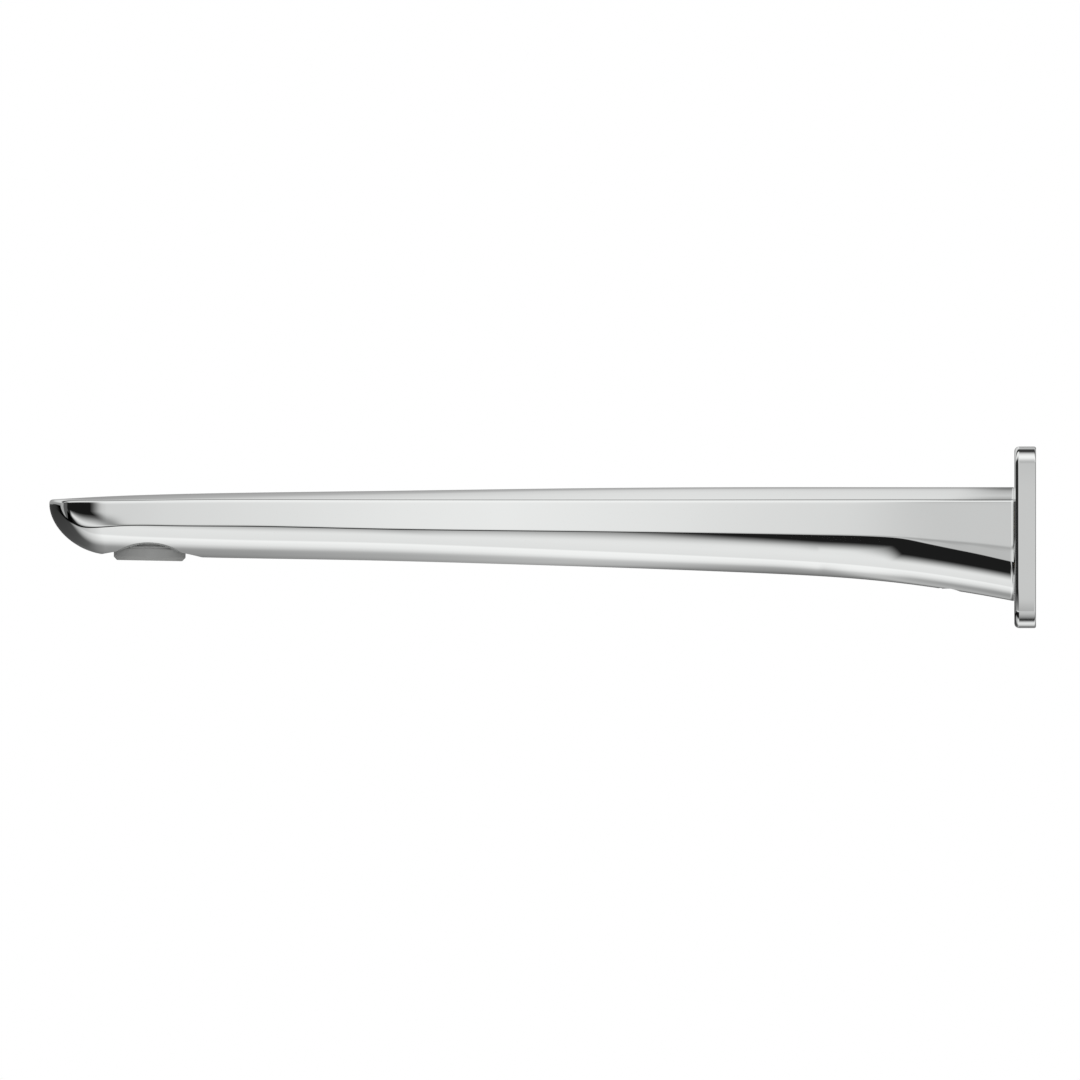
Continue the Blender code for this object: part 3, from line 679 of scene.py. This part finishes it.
def slab_rings(layers, angle):
    """Rings from layers (half side, corner, distance from the wall); a corner as large as the half
    side makes a circle."""
    rings = []
    for half, corner, s in layers:
        flat = square_ring(half, min(corner, half), angle)
        rings.append(np.stack((flat[:, 0], 0 * angle - s, flat[:, 1]), axis=-1))
    return np.array(rings)


def make_plate():
    """Square plate as one loop of rings: round the outside, over the front, in through the round
    opening and back over the hollow behind."""
    size = settings().plate
    half = (PLATE_HIGH.x - PLATE_LOW.x) / 2 / MM
    thick = (PLATE_HIGH.y - PLATE_LOW.y) / MM
    corner, front, back = size.corner / MM, size.front_rounding / MM, size.back_rounding / MM
    opening, hollow, hollow_corner, hollow_depth, lip, fillet = 10.4, half - 3.5, 3.0, 3.0, 0.25, 0.4
    # How much of its rounding each edge takes off the corner's radius, and the rings that hold it
    back_tuck, front_tuck, edge = 0.5, 0.6, 0.03
    turns = np.linspace(0, np.pi / 2, 7)
    layers = [(hollow, hollow_corner, 0.0), (half - back, corner - back * back_tuck, 0.0)]
    layers += [(half - back * (1 - math.sin(t)), corner - back * (1 - math.sin(t)) * back_tuck,
                back * (1 - math.cos(t))) for t in turns[1:]]
    layers += [(half, corner, back + edge), (half, corner, thick - front - edge)]
    layers += [(half - front * (1 - math.cos(t)), corner - front * (1 - math.cos(t)) * front_tuck,
                thick - front * (1 - math.sin(t))) for t in turns]
    layers += [(half - front - edge, corner - front * front_tuck - edge, thick)]
    layers += [(opening + lip, opening + lip, thick), (opening, opening, thick - lip),
               (opening, opening, hollow_depth + lip), (opening + lip, opening + lip, hollow_depth),
               (hollow - fillet, hollow_corner - fillet, hollow_depth),
               (hollow, hollow_corner, hollow_depth - fillet)]
    angle = plate_angles(half, corner)
    return grid_mesh("plate_shell", slab_rings(layers, angle) * MM, wrap_rows=True)


def make_gasket():
    """Foam gasket: a rounded square with a round opening and softly pressed edges."""
    low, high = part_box("wall_gasket")
    half, thick = (high.x - low.x) / 2 / MM, (high.y - low.y) / MM
    opening, lip, soft = 14.0, 0.25, 0.4
    wide, tight = opening + lip, FOAM_CORNER - soft / 2
    layers = [(opening, opening, lip), (wide, wide, 0.0), (half - soft, tight, 0.0),
              (half, FOAM_CORNER, soft), (half, FOAM_CORNER, thick - soft),
              (half - soft, tight, thick), (wide, wide, thick), (opening, opening, thick - lip)]
    angle = plate_angles(half, FOAM_CORNER)
    return grid_mesh("gasket_foam", slab_rings(layers, angle) * MM, wrap_rows=True)


# ---------------------------------------------------------------- inlet, tube and seals

INLET_FRAME = axis_frame((0, 0, 0), (0, -1, 0))
PIPE_SEALS = 9.0, 15.0            # distances of the pipe's O-rings from the wall, in millimetres


def ring_seal(name, radius, thickness, height, place):
    """O-ring: a circle of the section's thickness carried round, with the fine flash line that its
    mould leaves round the outside and the inside."""
    turn = np.linspace(0, math.tau, 32, endpoint=False)
    flash = 1 + 0.03 * np.exp(-(np.sin(turn) / 0.12) ** 2)
    outline = np.stack((radius + thickness / 2 * flash * np.cos(turn),
                        height + thickness / 2 * np.sin(turn)), axis=-1)
    return grid_mesh(name, placed(turned_grid(outline, 96) * MM, place), wrap_rows=True)


def make_inlet_block():
    """Slip-fit brass block: collar for the plate, O-ring grooves inside and out, a lead-in chamfer
    at the mouth and a stepped seat for the water tube."""
    mouth, socket_end, block_end = 1.0, 28.0, 36.0
    corners = [(PIPE_SOCKET, mouth, 0.3), (BLOCK_RADIUS, mouth, 0.35), (BLOCK_RADIUS, 3.3, 0.1),
               (SOCKET_GROOVE, 3.3, 0.1), (SOCKET_GROOVE, 5.1, 0.1), (BLOCK_RADIUS, 5.1, 0.1),
               (BLOCK_RADIUS, block_end, 0.35), (TUBE_SEAT, block_end, 0.1), (TUBE_SEAT, 33.8, 0.1),
               (TUBE_FIT, 33.8, 0.1), (TUBE_FIT, 31.3, 0.1), (TUBE_INSIDE, 31.3, 0.1),
               (TUBE_INSIDE, socket_end, 0.2), (PIPE_SOCKET, socket_end, 0.2)]
    for groove in reversed(PIPE_SEALS):
        corners += [(PIPE_SOCKET, groove + 1, 0.1), (SOCKET_GROOVE, groove + 1, 0.1),
                    (SOCKET_GROOVE, groove - 1, 0.1), (PIPE_SOCKET, groove - 1, 0.1)]
    block = turned("socket_block", corners, 96, INLET_FRAME)
    cut(block, drill("cut_block_hole", SCREW_HOLE, -5, 5, 32, screw_place()))
    smooth(block)
    return block


def make_grommet(name, node):
    """Foam grommet: the hollow's own section with softly rounded ends, round the tube's bore."""
    size = settings().arm
    low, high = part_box(node)
    back, front = -high.y / MM, -low.y / MM
    soft, press, gap = 0.6, 0.15, 0.3
    steps = [(soft, back), (press, back + press), (0, back + soft), (0, front - soft),
             (press, front - press), (soft, front)]
    inset = size.wall / MM + gap
    outer = [straight_rings(size, [s], inset + extra)[0] for extra, s in steps]
    rise = tube_axis()[0].col[2]
    inner = []
    for s in (front, back):
        middle = rise.z / -rise.y * (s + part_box("water_tube")[1].y / MM)
        angle = np.arctan2(outer[0][:, 2] - middle, outer[0][:, 0])
        inner.append(np.stack((TUBE_FIT * np.cos(angle), 0 * angle - s,
                               middle + TUBE_FIT * np.sin(angle)), axis=-1))
    return grid_mesh(name, np.array(outer + inner) * MM, wrap_rows=True)


def make_set_screw():
    """Headless screw: a rolled thread, a cupped point and a hexagon socket."""
    low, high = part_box("set_screw")
    top, radius, pitch = (high.z - low.z) / 2 / MM, 2.4, 0.8
    screw = turned("clamp_screw_m5",
                   [(0, -top, 0), (1.85, -top, 0.1), (radius, -top + 0.5, 0.1),
                    (radius, top - 0.8, 0.1), (1.4, top, 0.1), (1.0, top, 0.05), (0, top - 0.5, 0)],
                   96, screw_place(), thread=(pitch, 0.42, -top, top, 2.0))
    cut(screw, hexagon_prisms("cut_hexagon", [(0.0, 0.0)], 1.44, -top - 1, -top + 2.1, screw_place()))
    smooth(screw)
    return screw


# ---------------------------------------------------------------- aerator

def hexagon_prisms(name, centres, radius, low, high, place):
    """Closed hexagonal prisms on local Z at each centre, in one mesh; all in millimetres."""
    centres = np.array(centres, float)
    turn = np.radians(np.arange(6) * 60 + 30)
    ring = np.stack((radius * np.cos(turn), radius * np.sin(turn)), axis=-1)
    flat = centres[:, None, :] + ring[None]
    layers = [np.concatenate((flat, np.full(flat.shape[:2] + (1,), z)), axis=-1) for z in (low, high)]
    points = np.concatenate(layers, axis=1)
    base = np.arange(len(centres))[:, None] * 12
    around = np.arange(6)
    sides = np.stack((around, (around + 1) % 6, (around + 1) % 6 + 6, around + 6), axis=-1)
    quads = (base[:, :, None] + sides[None]).reshape(-1, 4)
    caps = np.vstack((base + around[::-1], base + 6 + around))
    return linked(name, placed(points.reshape(-1, 3) * MM, place), quads.tolist() + caps.tolist())


def honeycomb(pitch, rings):
    """Centres of hexagonal cells round a middle one: axial steps along two directions 60 apart."""
    q, r = np.meshgrid(np.arange(-rings, rings + 1), np.arange(-rings, rings + 1))
    inside = np.abs(q + r) <= rings
    q, r = q[inside], r[inside]
    return np.stack((pitch * (q + r / 2), pitch * r * math.sqrt(3) / 2), axis=-1)


def make_aerator_ring():
    """Screw-in ring: satin rim with a chamfer, a plain band that shows, and the thread above it."""
    outlet = settings().outlet
    radius, chamfer = outlet.ring_radius / MM, outlet.chamfer / MM
    corners = [(7.4, 0.0, 0.12), (radius - chamfer, 0.0, 0.1), (radius, chamfer, 0.15),
               (radius, 6.3, 0.3), (8.0, 6.3, 0.12), (8.0, 1.2, 0.1), (7.4, 1.2, 0.12)]
    return turned("aerator_ring_m18", corners, 160, axis_frame(OUTLET_CENTRE, OUTLET_UP),
                  thread=(outlet.thread_pitch / MM, 0.45, 2.9, 6.1, 8.6))


def make_outlet_grid():
    """Honeycomb outlet: thin-walled hexagonal cells in a disc with a soft rim."""
    place = axis_frame(OUTLET_CENTRE, OUTLET_UP)
    disc = turned("honeycomb_outlet", [(0, 1.5, 0), (7.1, 1.5, 0.1), (INSERT_RADIUS, 1.75, 0.15),
                                       (INSERT_RADIUS, 3.1, 0.15), (0, 3.1, 0)], 96, place)
    pitch, cell_radius, field_radius = 1.56, 0.76, 6.4
    cells = honeycomb(pitch, settings().outlet.grid_cells)
    cells = cells[np.hypot(cells[:, 0], cells[:, 1]) < field_radius]
    cut(disc, hexagon_prisms("cut_cells", cells, cell_radius, 1.0, 3.6, place))
    smooth(disc)
    return disc


# Insert pieces: node, piece, outline corners, and holes as make_insert takes them
INSERTS = (
    ("mixing_screen", "mixing_plate",
     [(0, 3.4, 0), (INSERT_RADIUS, 3.4, 0.1), (INSERT_RADIUS, 4.0, 0.1), (0, 4.0, 0)],
     [(2.4, 5, 0.9, 3, 4.4), (5.4, 10, 0.9, 3, 4.4)]),
    ("jet_diffuser", "diffuser_plate",
     [(0, 4.3, 0), (INSERT_RADIUS, 4.3, 0.15), (INSERT_RADIUS, 5.9, 0.15), (0, 5.9, 0)],
     [(5.8, 10, 0.7, 4, 6.3)]),
    ("flow_regulator", "regulator_cup",
     [(0, 6.2, 0), (7.3, 6.2, 0.15), (7.3, 8.4, 0.15), (6.7, 8.4, 0.1), (6.7, 6.9, 0.1),
      (4.4, 6.9, 0.1), (4.4, 8.0, 0.2), (0, 8.0, 0)],
     [(5.6, 8, 0.45, 6, 7.2)]),
    ("strainer_dome", "strainer_cap",
     [(7.3, 8.7, 0.1), (7.3, 9.4, 0.2), (5.6, 10.9, 0.5), (3.0, 11.8, 0.5), (0, 12.1, 0),
      (0, 11.5, 0), (2.8, 11.2, 0.5), (5.2, 10.4, 0.5), (6.5, 9.2, 0.2), (6.5, 8.7, 0.1)],
     [(1.8, 5, 0.6, 10, 13), (4.3, 10, 0.6, 9, 13)]),
)


def make_insert(name, corners, holes):
    """Turned insert pierced by round holes; holes are (ring radius, count, hole radius, low, high)."""
    place = axis_frame(OUTLET_CENTRE, OUTLET_UP)
    piece = turned(name, corners, 96, place)
    cutters = []
    for ring, count, radius, low, high in holes:
        for k in range(count):
            turn = math.tau * (k + 0.5) / count
            shift = Matrix.Translation((ring * math.cos(turn) * MM, ring * math.sin(turn) * MM, 0))
            cutters.append(drill("cut_hole", radius, low, high, 16, place @ shift))
    cut(piece, *cutters)
    smooth(piece)
    return piece


# ---------------------------------------------------------------- operators

def finish_piece(piece, node):
    """Rides a piece on its node's body, in the node's place and with the node's slot and finish."""
    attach(piece, BODIES[node])
    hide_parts(node)
    dress(piece, SLOTS[node])


class SPOUT_OT_arm(bpy.types.Operator):
    """Make the chrome arm"""
    bl_idname = "spout.arm"
    bl_label = "Arm"

    def execute(self, context):
        finish_piece(make_arm(), "spout_body")
        return {'FINISHED'}


class SPOUT_OT_plate(bpy.types.Operator):
    """Make the wall plate and the gasket behind it"""
    bl_idname = "spout.plate"
    bl_label = "Wall plate"

    def execute(self, context):
        finish_piece(make_plate(), "wall_plate")
        finish_piece(make_gasket(), "wall_gasket")
        return {'FINISHED'}


class SPOUT_OT_inlet(bpy.types.Operator):
    """Make the inlet block, its O-rings and the set screw"""
    bl_idname = "spout.inlet"
    bl_label = "Inlet"

    def execute(self, context):
        finish_piece(make_inlet_block(), "inlet_block")
        for node, radius, thickness, height in (("pipe_oring_rear", 7.95, 0.9, PIPE_SEALS[0]),
                                                ("pipe_oring_front", 7.95, 0.9, PIPE_SEALS[1]),
                                                ("plate_oring", 9.55, 1.0, 4.2)):
            finish_piece(ring_seal(node + "_seal", radius, thickness, height, INLET_FRAME), node)
        finish_piece(make_set_screw(), "set_screw")
        return {'FINISHED'}


class SPOUT_OT_tube(bpy.types.Operator):
    """Make the water tube, its O-rings and its foam grommets"""
    bl_idname = "spout.tube"
    bl_label = "Water tube"

    def execute(self, context):
        along, length = tube_axis()
        tube = turned("supply_tube", [(TUBE_INSIDE, 0.0, 0.15), (TUBE_OUTSIDE, 0.0, 0.3),
                                      (TUBE_OUTSIDE, length, 0.3), (TUBE_INSIDE, length, 0.15)],
                      64, along)
        finish_piece(tube, "water_tube")
        for node, height in (("tube_oring_rear", 3.3), ("tube_oring_front", length - 9.6)):
            finish_piece(ring_seal(node + "_seal", 5.95, 1.2, height, along), node)
        for where in ("rear", "middle", "front"):
            node = "tube_grommet_" + where
            finish_piece(make_grommet(node + "_foam", node), node)
        return {'FINISHED'}


class SPOUT_OT_aerator(bpy.types.Operator):
    """Make the aerator: its ring, honeycomb outlet, washer and insert pieces"""
    bl_idname = "spout.aerator"
    bl_label = "Aerator"

    def execute(self, context):
        place = axis_frame(OUTLET_CENTRE, OUTLET_UP)
        finish_piece(make_aerator_ring(), "aerator_housing")
        finish_piece(make_outlet_grid(), "outlet_grid")
        washer = turned("flat_washer", [(7.65, 6.6, 0.15), (9.1, 6.6, 0.15), (9.1, 7.7, 0.15),
                                        (7.65, 7.7, 0.15)], 96, place)
        finish_piece(washer, "aerator_washer")
        finish_piece(ring_seal("regulator_oring", 5.55, 0.9, 7.65, place), "regulator_ring")
        for node, name, corners, holes in INSERTS:
            finish_piece(make_insert(name, corners, holes), node)
        return {'FINISHED'}


class SPOUT_OT_studio(bpy.types.Operator):
    """Make the floor, the light tent, the soft light and the camera"""
    bl_idname = "spout.studio"
    bl_label = "Studio"

    def execute(self, context):
        make_world()
        make_floor()
        make_tent()
        make_key_light()
        make_camera()
        context.scene.view_settings.view_transform = 'Standard'
        return {'FINISHED'}


# ---------------------------------------------------------------- studio

# In these tables an angle is in degrees round the spout, up from the viewer's side, and a distance
# is in metres, towards the wall. Light of the tent: (angle, light)
TENT_LIGHT = [(-180, 0.33), (-165, 0.355), (-140, 0.53), (-128, 0.57), (-120, 0.66), (-112, 0.88),
              (-104, 0.99), (-91, 1.02), (-88, 0.84), (-67, 0.88), (-10, 0.81), (0, 0.93), (20, 1.0),
              (88, 1.0), (93, 0.04), (110, 0.04), (122, 0.86), (142, 0.81), (153, 0.7), (159, 0.5),
              (170, 0.38), (180, 0.35)]
# Light of the tent beside the wall: (angle, light), and the distances between which it takes over
WALL_LIGHT = [(-180, 0.15), (-140, 0.22), (-124, 0.26), (-112, 0.70), (-91, 0.88), (-82, 0.69),
              (-73, 0.24), (-65, 0.03), (-58, 0.05), (-43, 0.31), (-22, 0.55), (0, 0.645), (14, 0.5),
              (26, 0.68), (40, 0.99), (54, 1.01), (69, 0.77), (77, 0.44), (88, 0.05), (106, 0.04),
              (118, 0.37), (129, 0.65), (144, 0.46), (155, 0.22), (180, 0.17)]
WALL_BLEND = -0.02, -0.006
# Share of light lost along the spout: (distance, share), and how far each angle takes part
LENGTH_LOSS = [(-0.28, 1.0), (-0.231, 0.79), (-0.218, 0.64), (-0.202, 0.575), (-0.16, 0.36),
               (-0.1265, 0.14), (-0.094, 0.0), (-0.066, 0.165), (-0.042, 0.33), (-0.023, 0.575),
               (-0.0115, 0.76), (0.0125, 1.0)]
LOSS_SHARE = [(-180, 0.0), (-20, 0.0), (-6, 0.05), (-1, 0.29), (12, 0.1), (180, 0.1)]
# Share lost beside the wall on the viewer's side: by angle, and between which distances it sets in
FACET_SHARE = [(-180, 0.0), (-30, 0.0), (-10, 0.38), (-6, 0.36), (-1, 0.0), (180, 0.0)]
FACET_REACH = -0.06, -0.01
# Share lost by light from below and behind: by distance, and how far each angle takes part
LOW_LOSS = [(-1.0, 0.8), (-0.6, 0.75), (-0.28, 0.5), (-0.215, 0.38), (-0.187, 0.23), (-0.15, 0.03),
            (-0.135, 0.06), (-0.118, 0.36), (-0.1, 0.5), (-0.07, 0.62), (-0.04, 0.74), (0.0, 0.79)]
LOW_SHARE = [(-180, 1.0), (-122, 1.0), (-112, 0.65), (-104, 0.33), (-94, 0.08), (-88, 0.0), (180, 0.0)]
# Share lost by all light from below that comes from beyond the tip: by distance, and between which
# angles down it sets in
FAR_LOSS = [(-3.5, 0.85), (-2.5, 0.55), (-1.4, 0.42), (-0.73, 0.27), (-0.43, 0.14), (-0.26, 0.0)]
FAR_LOSS_DOWN = 12.0, 24.0
# Black band below the viewer's level. Its foot, in degrees down, sinks from the first angle to the
# second; the sinking starts at a distance and is over within a length.
BAND_TOP = -14.0, -8.0
BAND_FEET, BAND_FADE, BAND_LIGHT = (28.0, 44.0), 27.0, 0.015
SINK_START, SINK_LENGTH = -0.08, 0.075
# Between these distances the light below the band goes out too
FAR_BLACK = -4.6, -3.2
# Black flag ahead of the tip: (distance, share), how far each angle takes part near and far from
# the tip, and between which distances ahead the far one sets in
FLAG = [(-7.2, 0.89), (-6.2, 0.985), (-0.84, 0.985), (-0.7, 0.85), (-0.55, 0.57), (-0.42, 0.22),
        (-0.34, 0.07), (-0.27, 0.0)]
FLAG_NEAR = [(-180, 0), (-7, 0), (-2, 1), (30, 1), (60, 0), (180, 0)]
FLAG_FAR = [(-180, 0), (-60, 0), (-40, 1), (60, 1), (90, 0), (180, 0)]
FLAG_AHEAD = 3.0, 4.4
# The flag begins nearer the tip the lower the light comes from: metres a degree, down to an angle
FLAG_SLANT, FLAG_LOWEST = 0.12, -7.0
# Light of the tent's end caps, on the viewer's side and behind
CAP_LIGHT = 0.11, 0.42
TENT_LENGTH = 16.0


def make_world():
    """Plain white surroundings."""
    world = bpy.data.worlds.new("white_room")
    bpy.context.scene.world = world
    world.use_nodes = True
    background = world.node_tree.nodes["Background"]
    background.inputs["Color"].default_value = (1.0, 1.0, 1.0, 1.0)
    background.inputs["Strength"].default_value = 1.0


def make_floor():
    """Plain pale floor, well below the spout."""
    drop = settings().studio.floor_drop
    half = 8.0
    floor = linked("studio_floor", [(-half, -half, -drop), (half, -half, -drop),
                                    (half, half, -drop), (-half, half, -drop)], [(0, 1, 2, 3)])
    material, tree, shader = new_material("pale_floor", (0.86, 0.86, 0.85), 0.9)
    tree.links.new(two_tone(tree, noise(tree, 3.0), (0.85, 0.85, 0.84), (0.88, 0.88, 0.87)),
                   shader.inputs["Base Color"])
    floor.data.materials.append(material)
    floor.visible_glossy = False


def ramp(tree, value, stops, low=-180.0, high=180.0):
    """Grey ramp over a value between low and high, straight between its stops."""
    place = tree.nodes.new("ShaderNodeMapRange")
    place.inputs["From Min"].default_value = low
    place.inputs["From Max"].default_value = high
    tree.links.new(value, place.inputs["Value"])
    node = tree.nodes.new("ShaderNodeValToRGB")
    elements = node.color_ramp.elements
    elements.remove(elements[1])
    for i, (at, level) in enumerate(stops):
        share = (at - low) / (high - low)
        if i == 0:
            elements[0].position = share
        element = elements[0] if i == 0 else elements.new(share)
        element.color = (level, level, level, 1.0)
    tree.links.new(place.outputs["Result"], node.inputs["Fac"])
    return node.outputs["Color"]


def soft_step(tree, value, start, end):
    """0 up to start, 1 from end on, and an S-shaped rise between; the ends are sockets or numbers."""
    node = tree.nodes.new("ShaderNodeMapRange")
    node.interpolation_type = 'SMOOTHSTEP'
    for name, limit in (("From Min", start), ("From Max", end)):
        if isinstance(limit, (int, float)):
            node.inputs[name].default_value = limit
        else:
            tree.links.new(limit, node.inputs[name])
    tree.links.new(value, node.inputs["Value"])
    return node.outputs["Result"]


def math_node(tree, operation, first, second=None, third=None):
    """A Math node; inputs are sockets or numbers."""
    node = tree.nodes.new("ShaderNodeMath")
    node.operation = operation
    for socket, value in zip(node.inputs, (first, second, third)):
        if isinstance(value, (int, float)):
            socket.default_value = value
        elif value is not None:
            tree.links.new(value, socket)
    return node.outputs["Value"]


def mixed(tree, first, second, share):
    """First and second value mixed by a 0 to 1 share."""
    gap = math_node(tree, 'SUBTRACT', second, first)
    return math_node(tree, 'MULTIPLY_ADD', gap, share, first)


def make_tent():
    """Light tent: a long round tube about the spout, closed by a flat cap at both ends and seen only
    in reflections."""
    turn = np.linspace(0, math.tau, 145)[:-1]
    ring = np.stack((np.cos(turn), 0 * turn, np.sin(turn)), axis=-1) * settings().studio.tent_radius
    along = np.array((0, 1, 0))
    share = np.array((0.0, 1.0, 1.0, 0.0))[:, None, None]
    place = np.array((1.0, 1.0, -1.0, -1.0))[:, None, None] * TENT_LENGTH / 2
    tent = grid_mesh("studio_tent", ring[None] * share + along * place)
    tent.data.materials.append(tent_material())
    for rays in ("visible_camera", "visible_diffuse", "visible_shadow"):
        setattr(tent, rays, False)


def tent_material():
    """Emission that depends on the angle round the spout and on the place along it: the tent's
    light less the shares lost, then the black band, the wall's own light, the flag and the caps."""
    material = bpy.data.materials.new("tent_light")
    material.use_nodes = True
    tree = material.node_tree
    tree.nodes.clear()
    place = tree.nodes.new("ShaderNodeTexCoord")
    split = tree.nodes.new("ShaderNodeSeparateXYZ")
    tree.links.new(place.outputs["Object"], split.inputs["Vector"])
    y = split.outputs["Y"]
    angle = math_node(tree, 'ARCTAN2', split.outputs["Z"], split.outputs["X"])
    angle = math_node(tree, 'MULTIPLY', angle, math.degrees(1))
    below = math_node(tree, 'MULTIPLY', angle, -1.0)

    loss = math_node(tree, 'MULTIPLY', ramp(tree, y, LENGTH_LOSS, -0.3, 0.1),
                     ramp(tree, angle, LOSS_SHARE))
    facet_loss = math_node(tree, 'MULTIPLY', soft_step(tree, y, *FACET_REACH),
                           ramp(tree, angle, FACET_SHARE))
    low_loss = math_node(tree, 'MULTIPLY', ramp(tree, y, LOW_LOSS, -1.0, 0.1),
                         ramp(tree, angle, LOW_SHARE))
    far_loss = math_node(tree, 'MULTIPLY', ramp(tree, y, FAR_LOSS, -4.0, 0.0),
                         soft_step(tree, below, *FAR_LOSS_DOWN))
    light = ramp(tree, angle, TENT_LIGHT)
    for part in (math_node(tree, 'ADD', loss, facet_loss), low_loss, far_loss):
        light = math_node(tree, 'MULTIPLY', light, math_node(tree, 'SUBTRACT', 1.0, part))

    shallow, deep = BAND_FEET
    sink_rate = (deep - shallow) / SINK_LENGTH
    foot = math_node(tree, 'MULTIPLY_ADD', y, -sink_rate, shallow + SINK_START * sink_rate)
    foot = math_node(tree, 'MINIMUM', math_node(tree, 'MAXIMUM', foot, shallow), deep)
    lower = soft_step(tree, below, foot, math_node(tree, 'ADD', foot, BAND_FADE))
    lower = math_node(tree, 'MULTIPLY', lower, soft_step(tree, y, *FAR_BLACK))
    band = math_node(tree, 'MAXIMUM', lower, soft_step(tree, angle, *BAND_TOP))
    light = math_node(tree, 'MULTIPLY', light, math_node(tree, 'MAXIMUM', band, BAND_LIGHT))

    light = mixed(tree, light, ramp(tree, angle, WALL_LIGHT), soft_step(tree, y, *WALL_BLEND))

    ahead = soft_step(tree, math_node(tree, 'MULTIPLY', y, -1.0), *FLAG_AHEAD)
    level = math_node(tree, 'MAXIMUM', ramp(tree, angle, FLAG_NEAR),
                      math_node(tree, 'MULTIPLY', ramp(tree, angle, FLAG_FAR), ahead))
    dip = math_node(tree, 'MAXIMUM', math_node(tree, 'MINIMUM', angle, 0.0), FLAG_LOWEST)
    slant = math_node(tree, 'MULTIPLY_ADD', dip, FLAG_SLANT, y)
    flag = math_node(tree, 'MULTIPLY', ramp(tree, slant, FLAG, -8.0, 0.0), level)
    light = math_node(tree, 'MULTIPLY', light, math_node(tree, 'SUBTRACT', 1.0, flag))

    near_side, far_side = CAP_LIGHT
    behind = math_node(tree, 'LESS_THAN', split.outputs["X"], 0.0)
    cap_light = math_node(tree, 'MULTIPLY_ADD', behind, far_side - near_side, near_side)
    cap = math_node(tree, 'GREATER_THAN', math_node(tree, 'ABSOLUTE', y), TENT_LENGTH / 2 - 0.01)
    light = mixed(tree, light, cap_light, cap)

    emission = tree.nodes.new("ShaderNodeEmission")
    output = tree.nodes.new("ShaderNodeOutputMaterial")
    tree.links.new(light, emission.inputs["Strength"])
    tree.links.new(emission.outputs["Emission"], output.inputs["Surface"])
    return material


def make_key_light():
    """One large soft light above and in front, for the plastic and the floor."""
    data = bpy.data.lights.new("soft_key", 'AREA')
    data.shape = 'RECTANGLE'
    data.size, data.size_y = 1.6, 1.0
    data.energy = 6.0
    aim = Vector((0, -0.12, 0))
    light = bpy.data.objects.new("soft_key", data)
    light.location = (0.9, -0.5, 1.3)
    light.rotation_euler = (aim - light.location).to_track_quat('-Z', 'Y').to_euler()
    light.visible_glossy = False
    light.visible_camera = False
    bpy.context.scene.collection.objects.link(light)


def make_camera():
    """Level side view without perspective: tip to the left, wall to the right."""
    data = bpy.data.cameras.new("side_camera")
    data.type = 'ORTHO'
    data.ortho_scale = settings().studio.frame_width
    camera = bpy.data.objects.new("side_camera", data)
    camera.location = (1.0, -REACH * PICTURE_MIDDLE, -REACH * PICTURE_DROP)
    camera.rotation_euler = (math.radians(90), 0, math.radians(90))
    data.clip_start, data.clip_end = 0.01, 20.0
    bpy.context.scene.collection.objects.link(camera)
    bpy.context.scene.camera = camera


# ---------------------------------------------------------------- panel and registration

PIECE_OPERATORS = (SPOUT_OT_arm, SPOUT_OT_plate, SPOUT_OT_inlet, SPOUT_OT_tube, SPOUT_OT_aerator,
                   SPOUT_OT_studio)
SETTING_GROUPS = (ArmSettings, PlateSettings, OutletSettings, FinishSettings, StudioSettings,
                  SpoutSettings)


class SPOUT_PT_panel(bpy.types.Panel):
    """Buttons for the spout's pieces, in the order they are made"""
    bl_idname = "SPOUT_PT_panel"
    bl_label = "Bath Spout"
    bl_space_type = 'VIEW_3D'
    bl_region_type = 'UI'
    bl_category = "Spout"

    def draw(self, context):
        for operator in PIECE_OPERATORS:
            self.layout.operator(operator.bl_idname)
        for group in ("arm", "plate", "outlet", "finish", "studio"):
            box = self.layout.box()
            values = getattr(context.scene.bath_spout, group)
            for name in values.__annotations__:
                box.prop(values, name)


def register():
    for group in (*SETTING_GROUPS, *PIECE_OPERATORS, SPOUT_PT_panel):
        bpy.utils.register_class(group)
    bpy.types.Scene.bath_spout = PointerProperty(type=SpoutSettings)


def unregister():
    del bpy.types.Scene.bath_spout
    for group in reversed((*SETTING_GROUPS, *PIECE_OPERATORS, SPOUT_PT_panel)):
        bpy.utils.unregister_class(group)


def main():
    """Registers the add-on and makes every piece."""
    register()
    bpy.ops.spout.arm()
    bpy.ops.spout.plate()
    bpy.ops.spout.inlet()
    bpy.ops.spout.tube()
    bpy.ops.spout.aerator()
    bpy.ops.spout.studio()


if __name__ == "__main__":
    main()
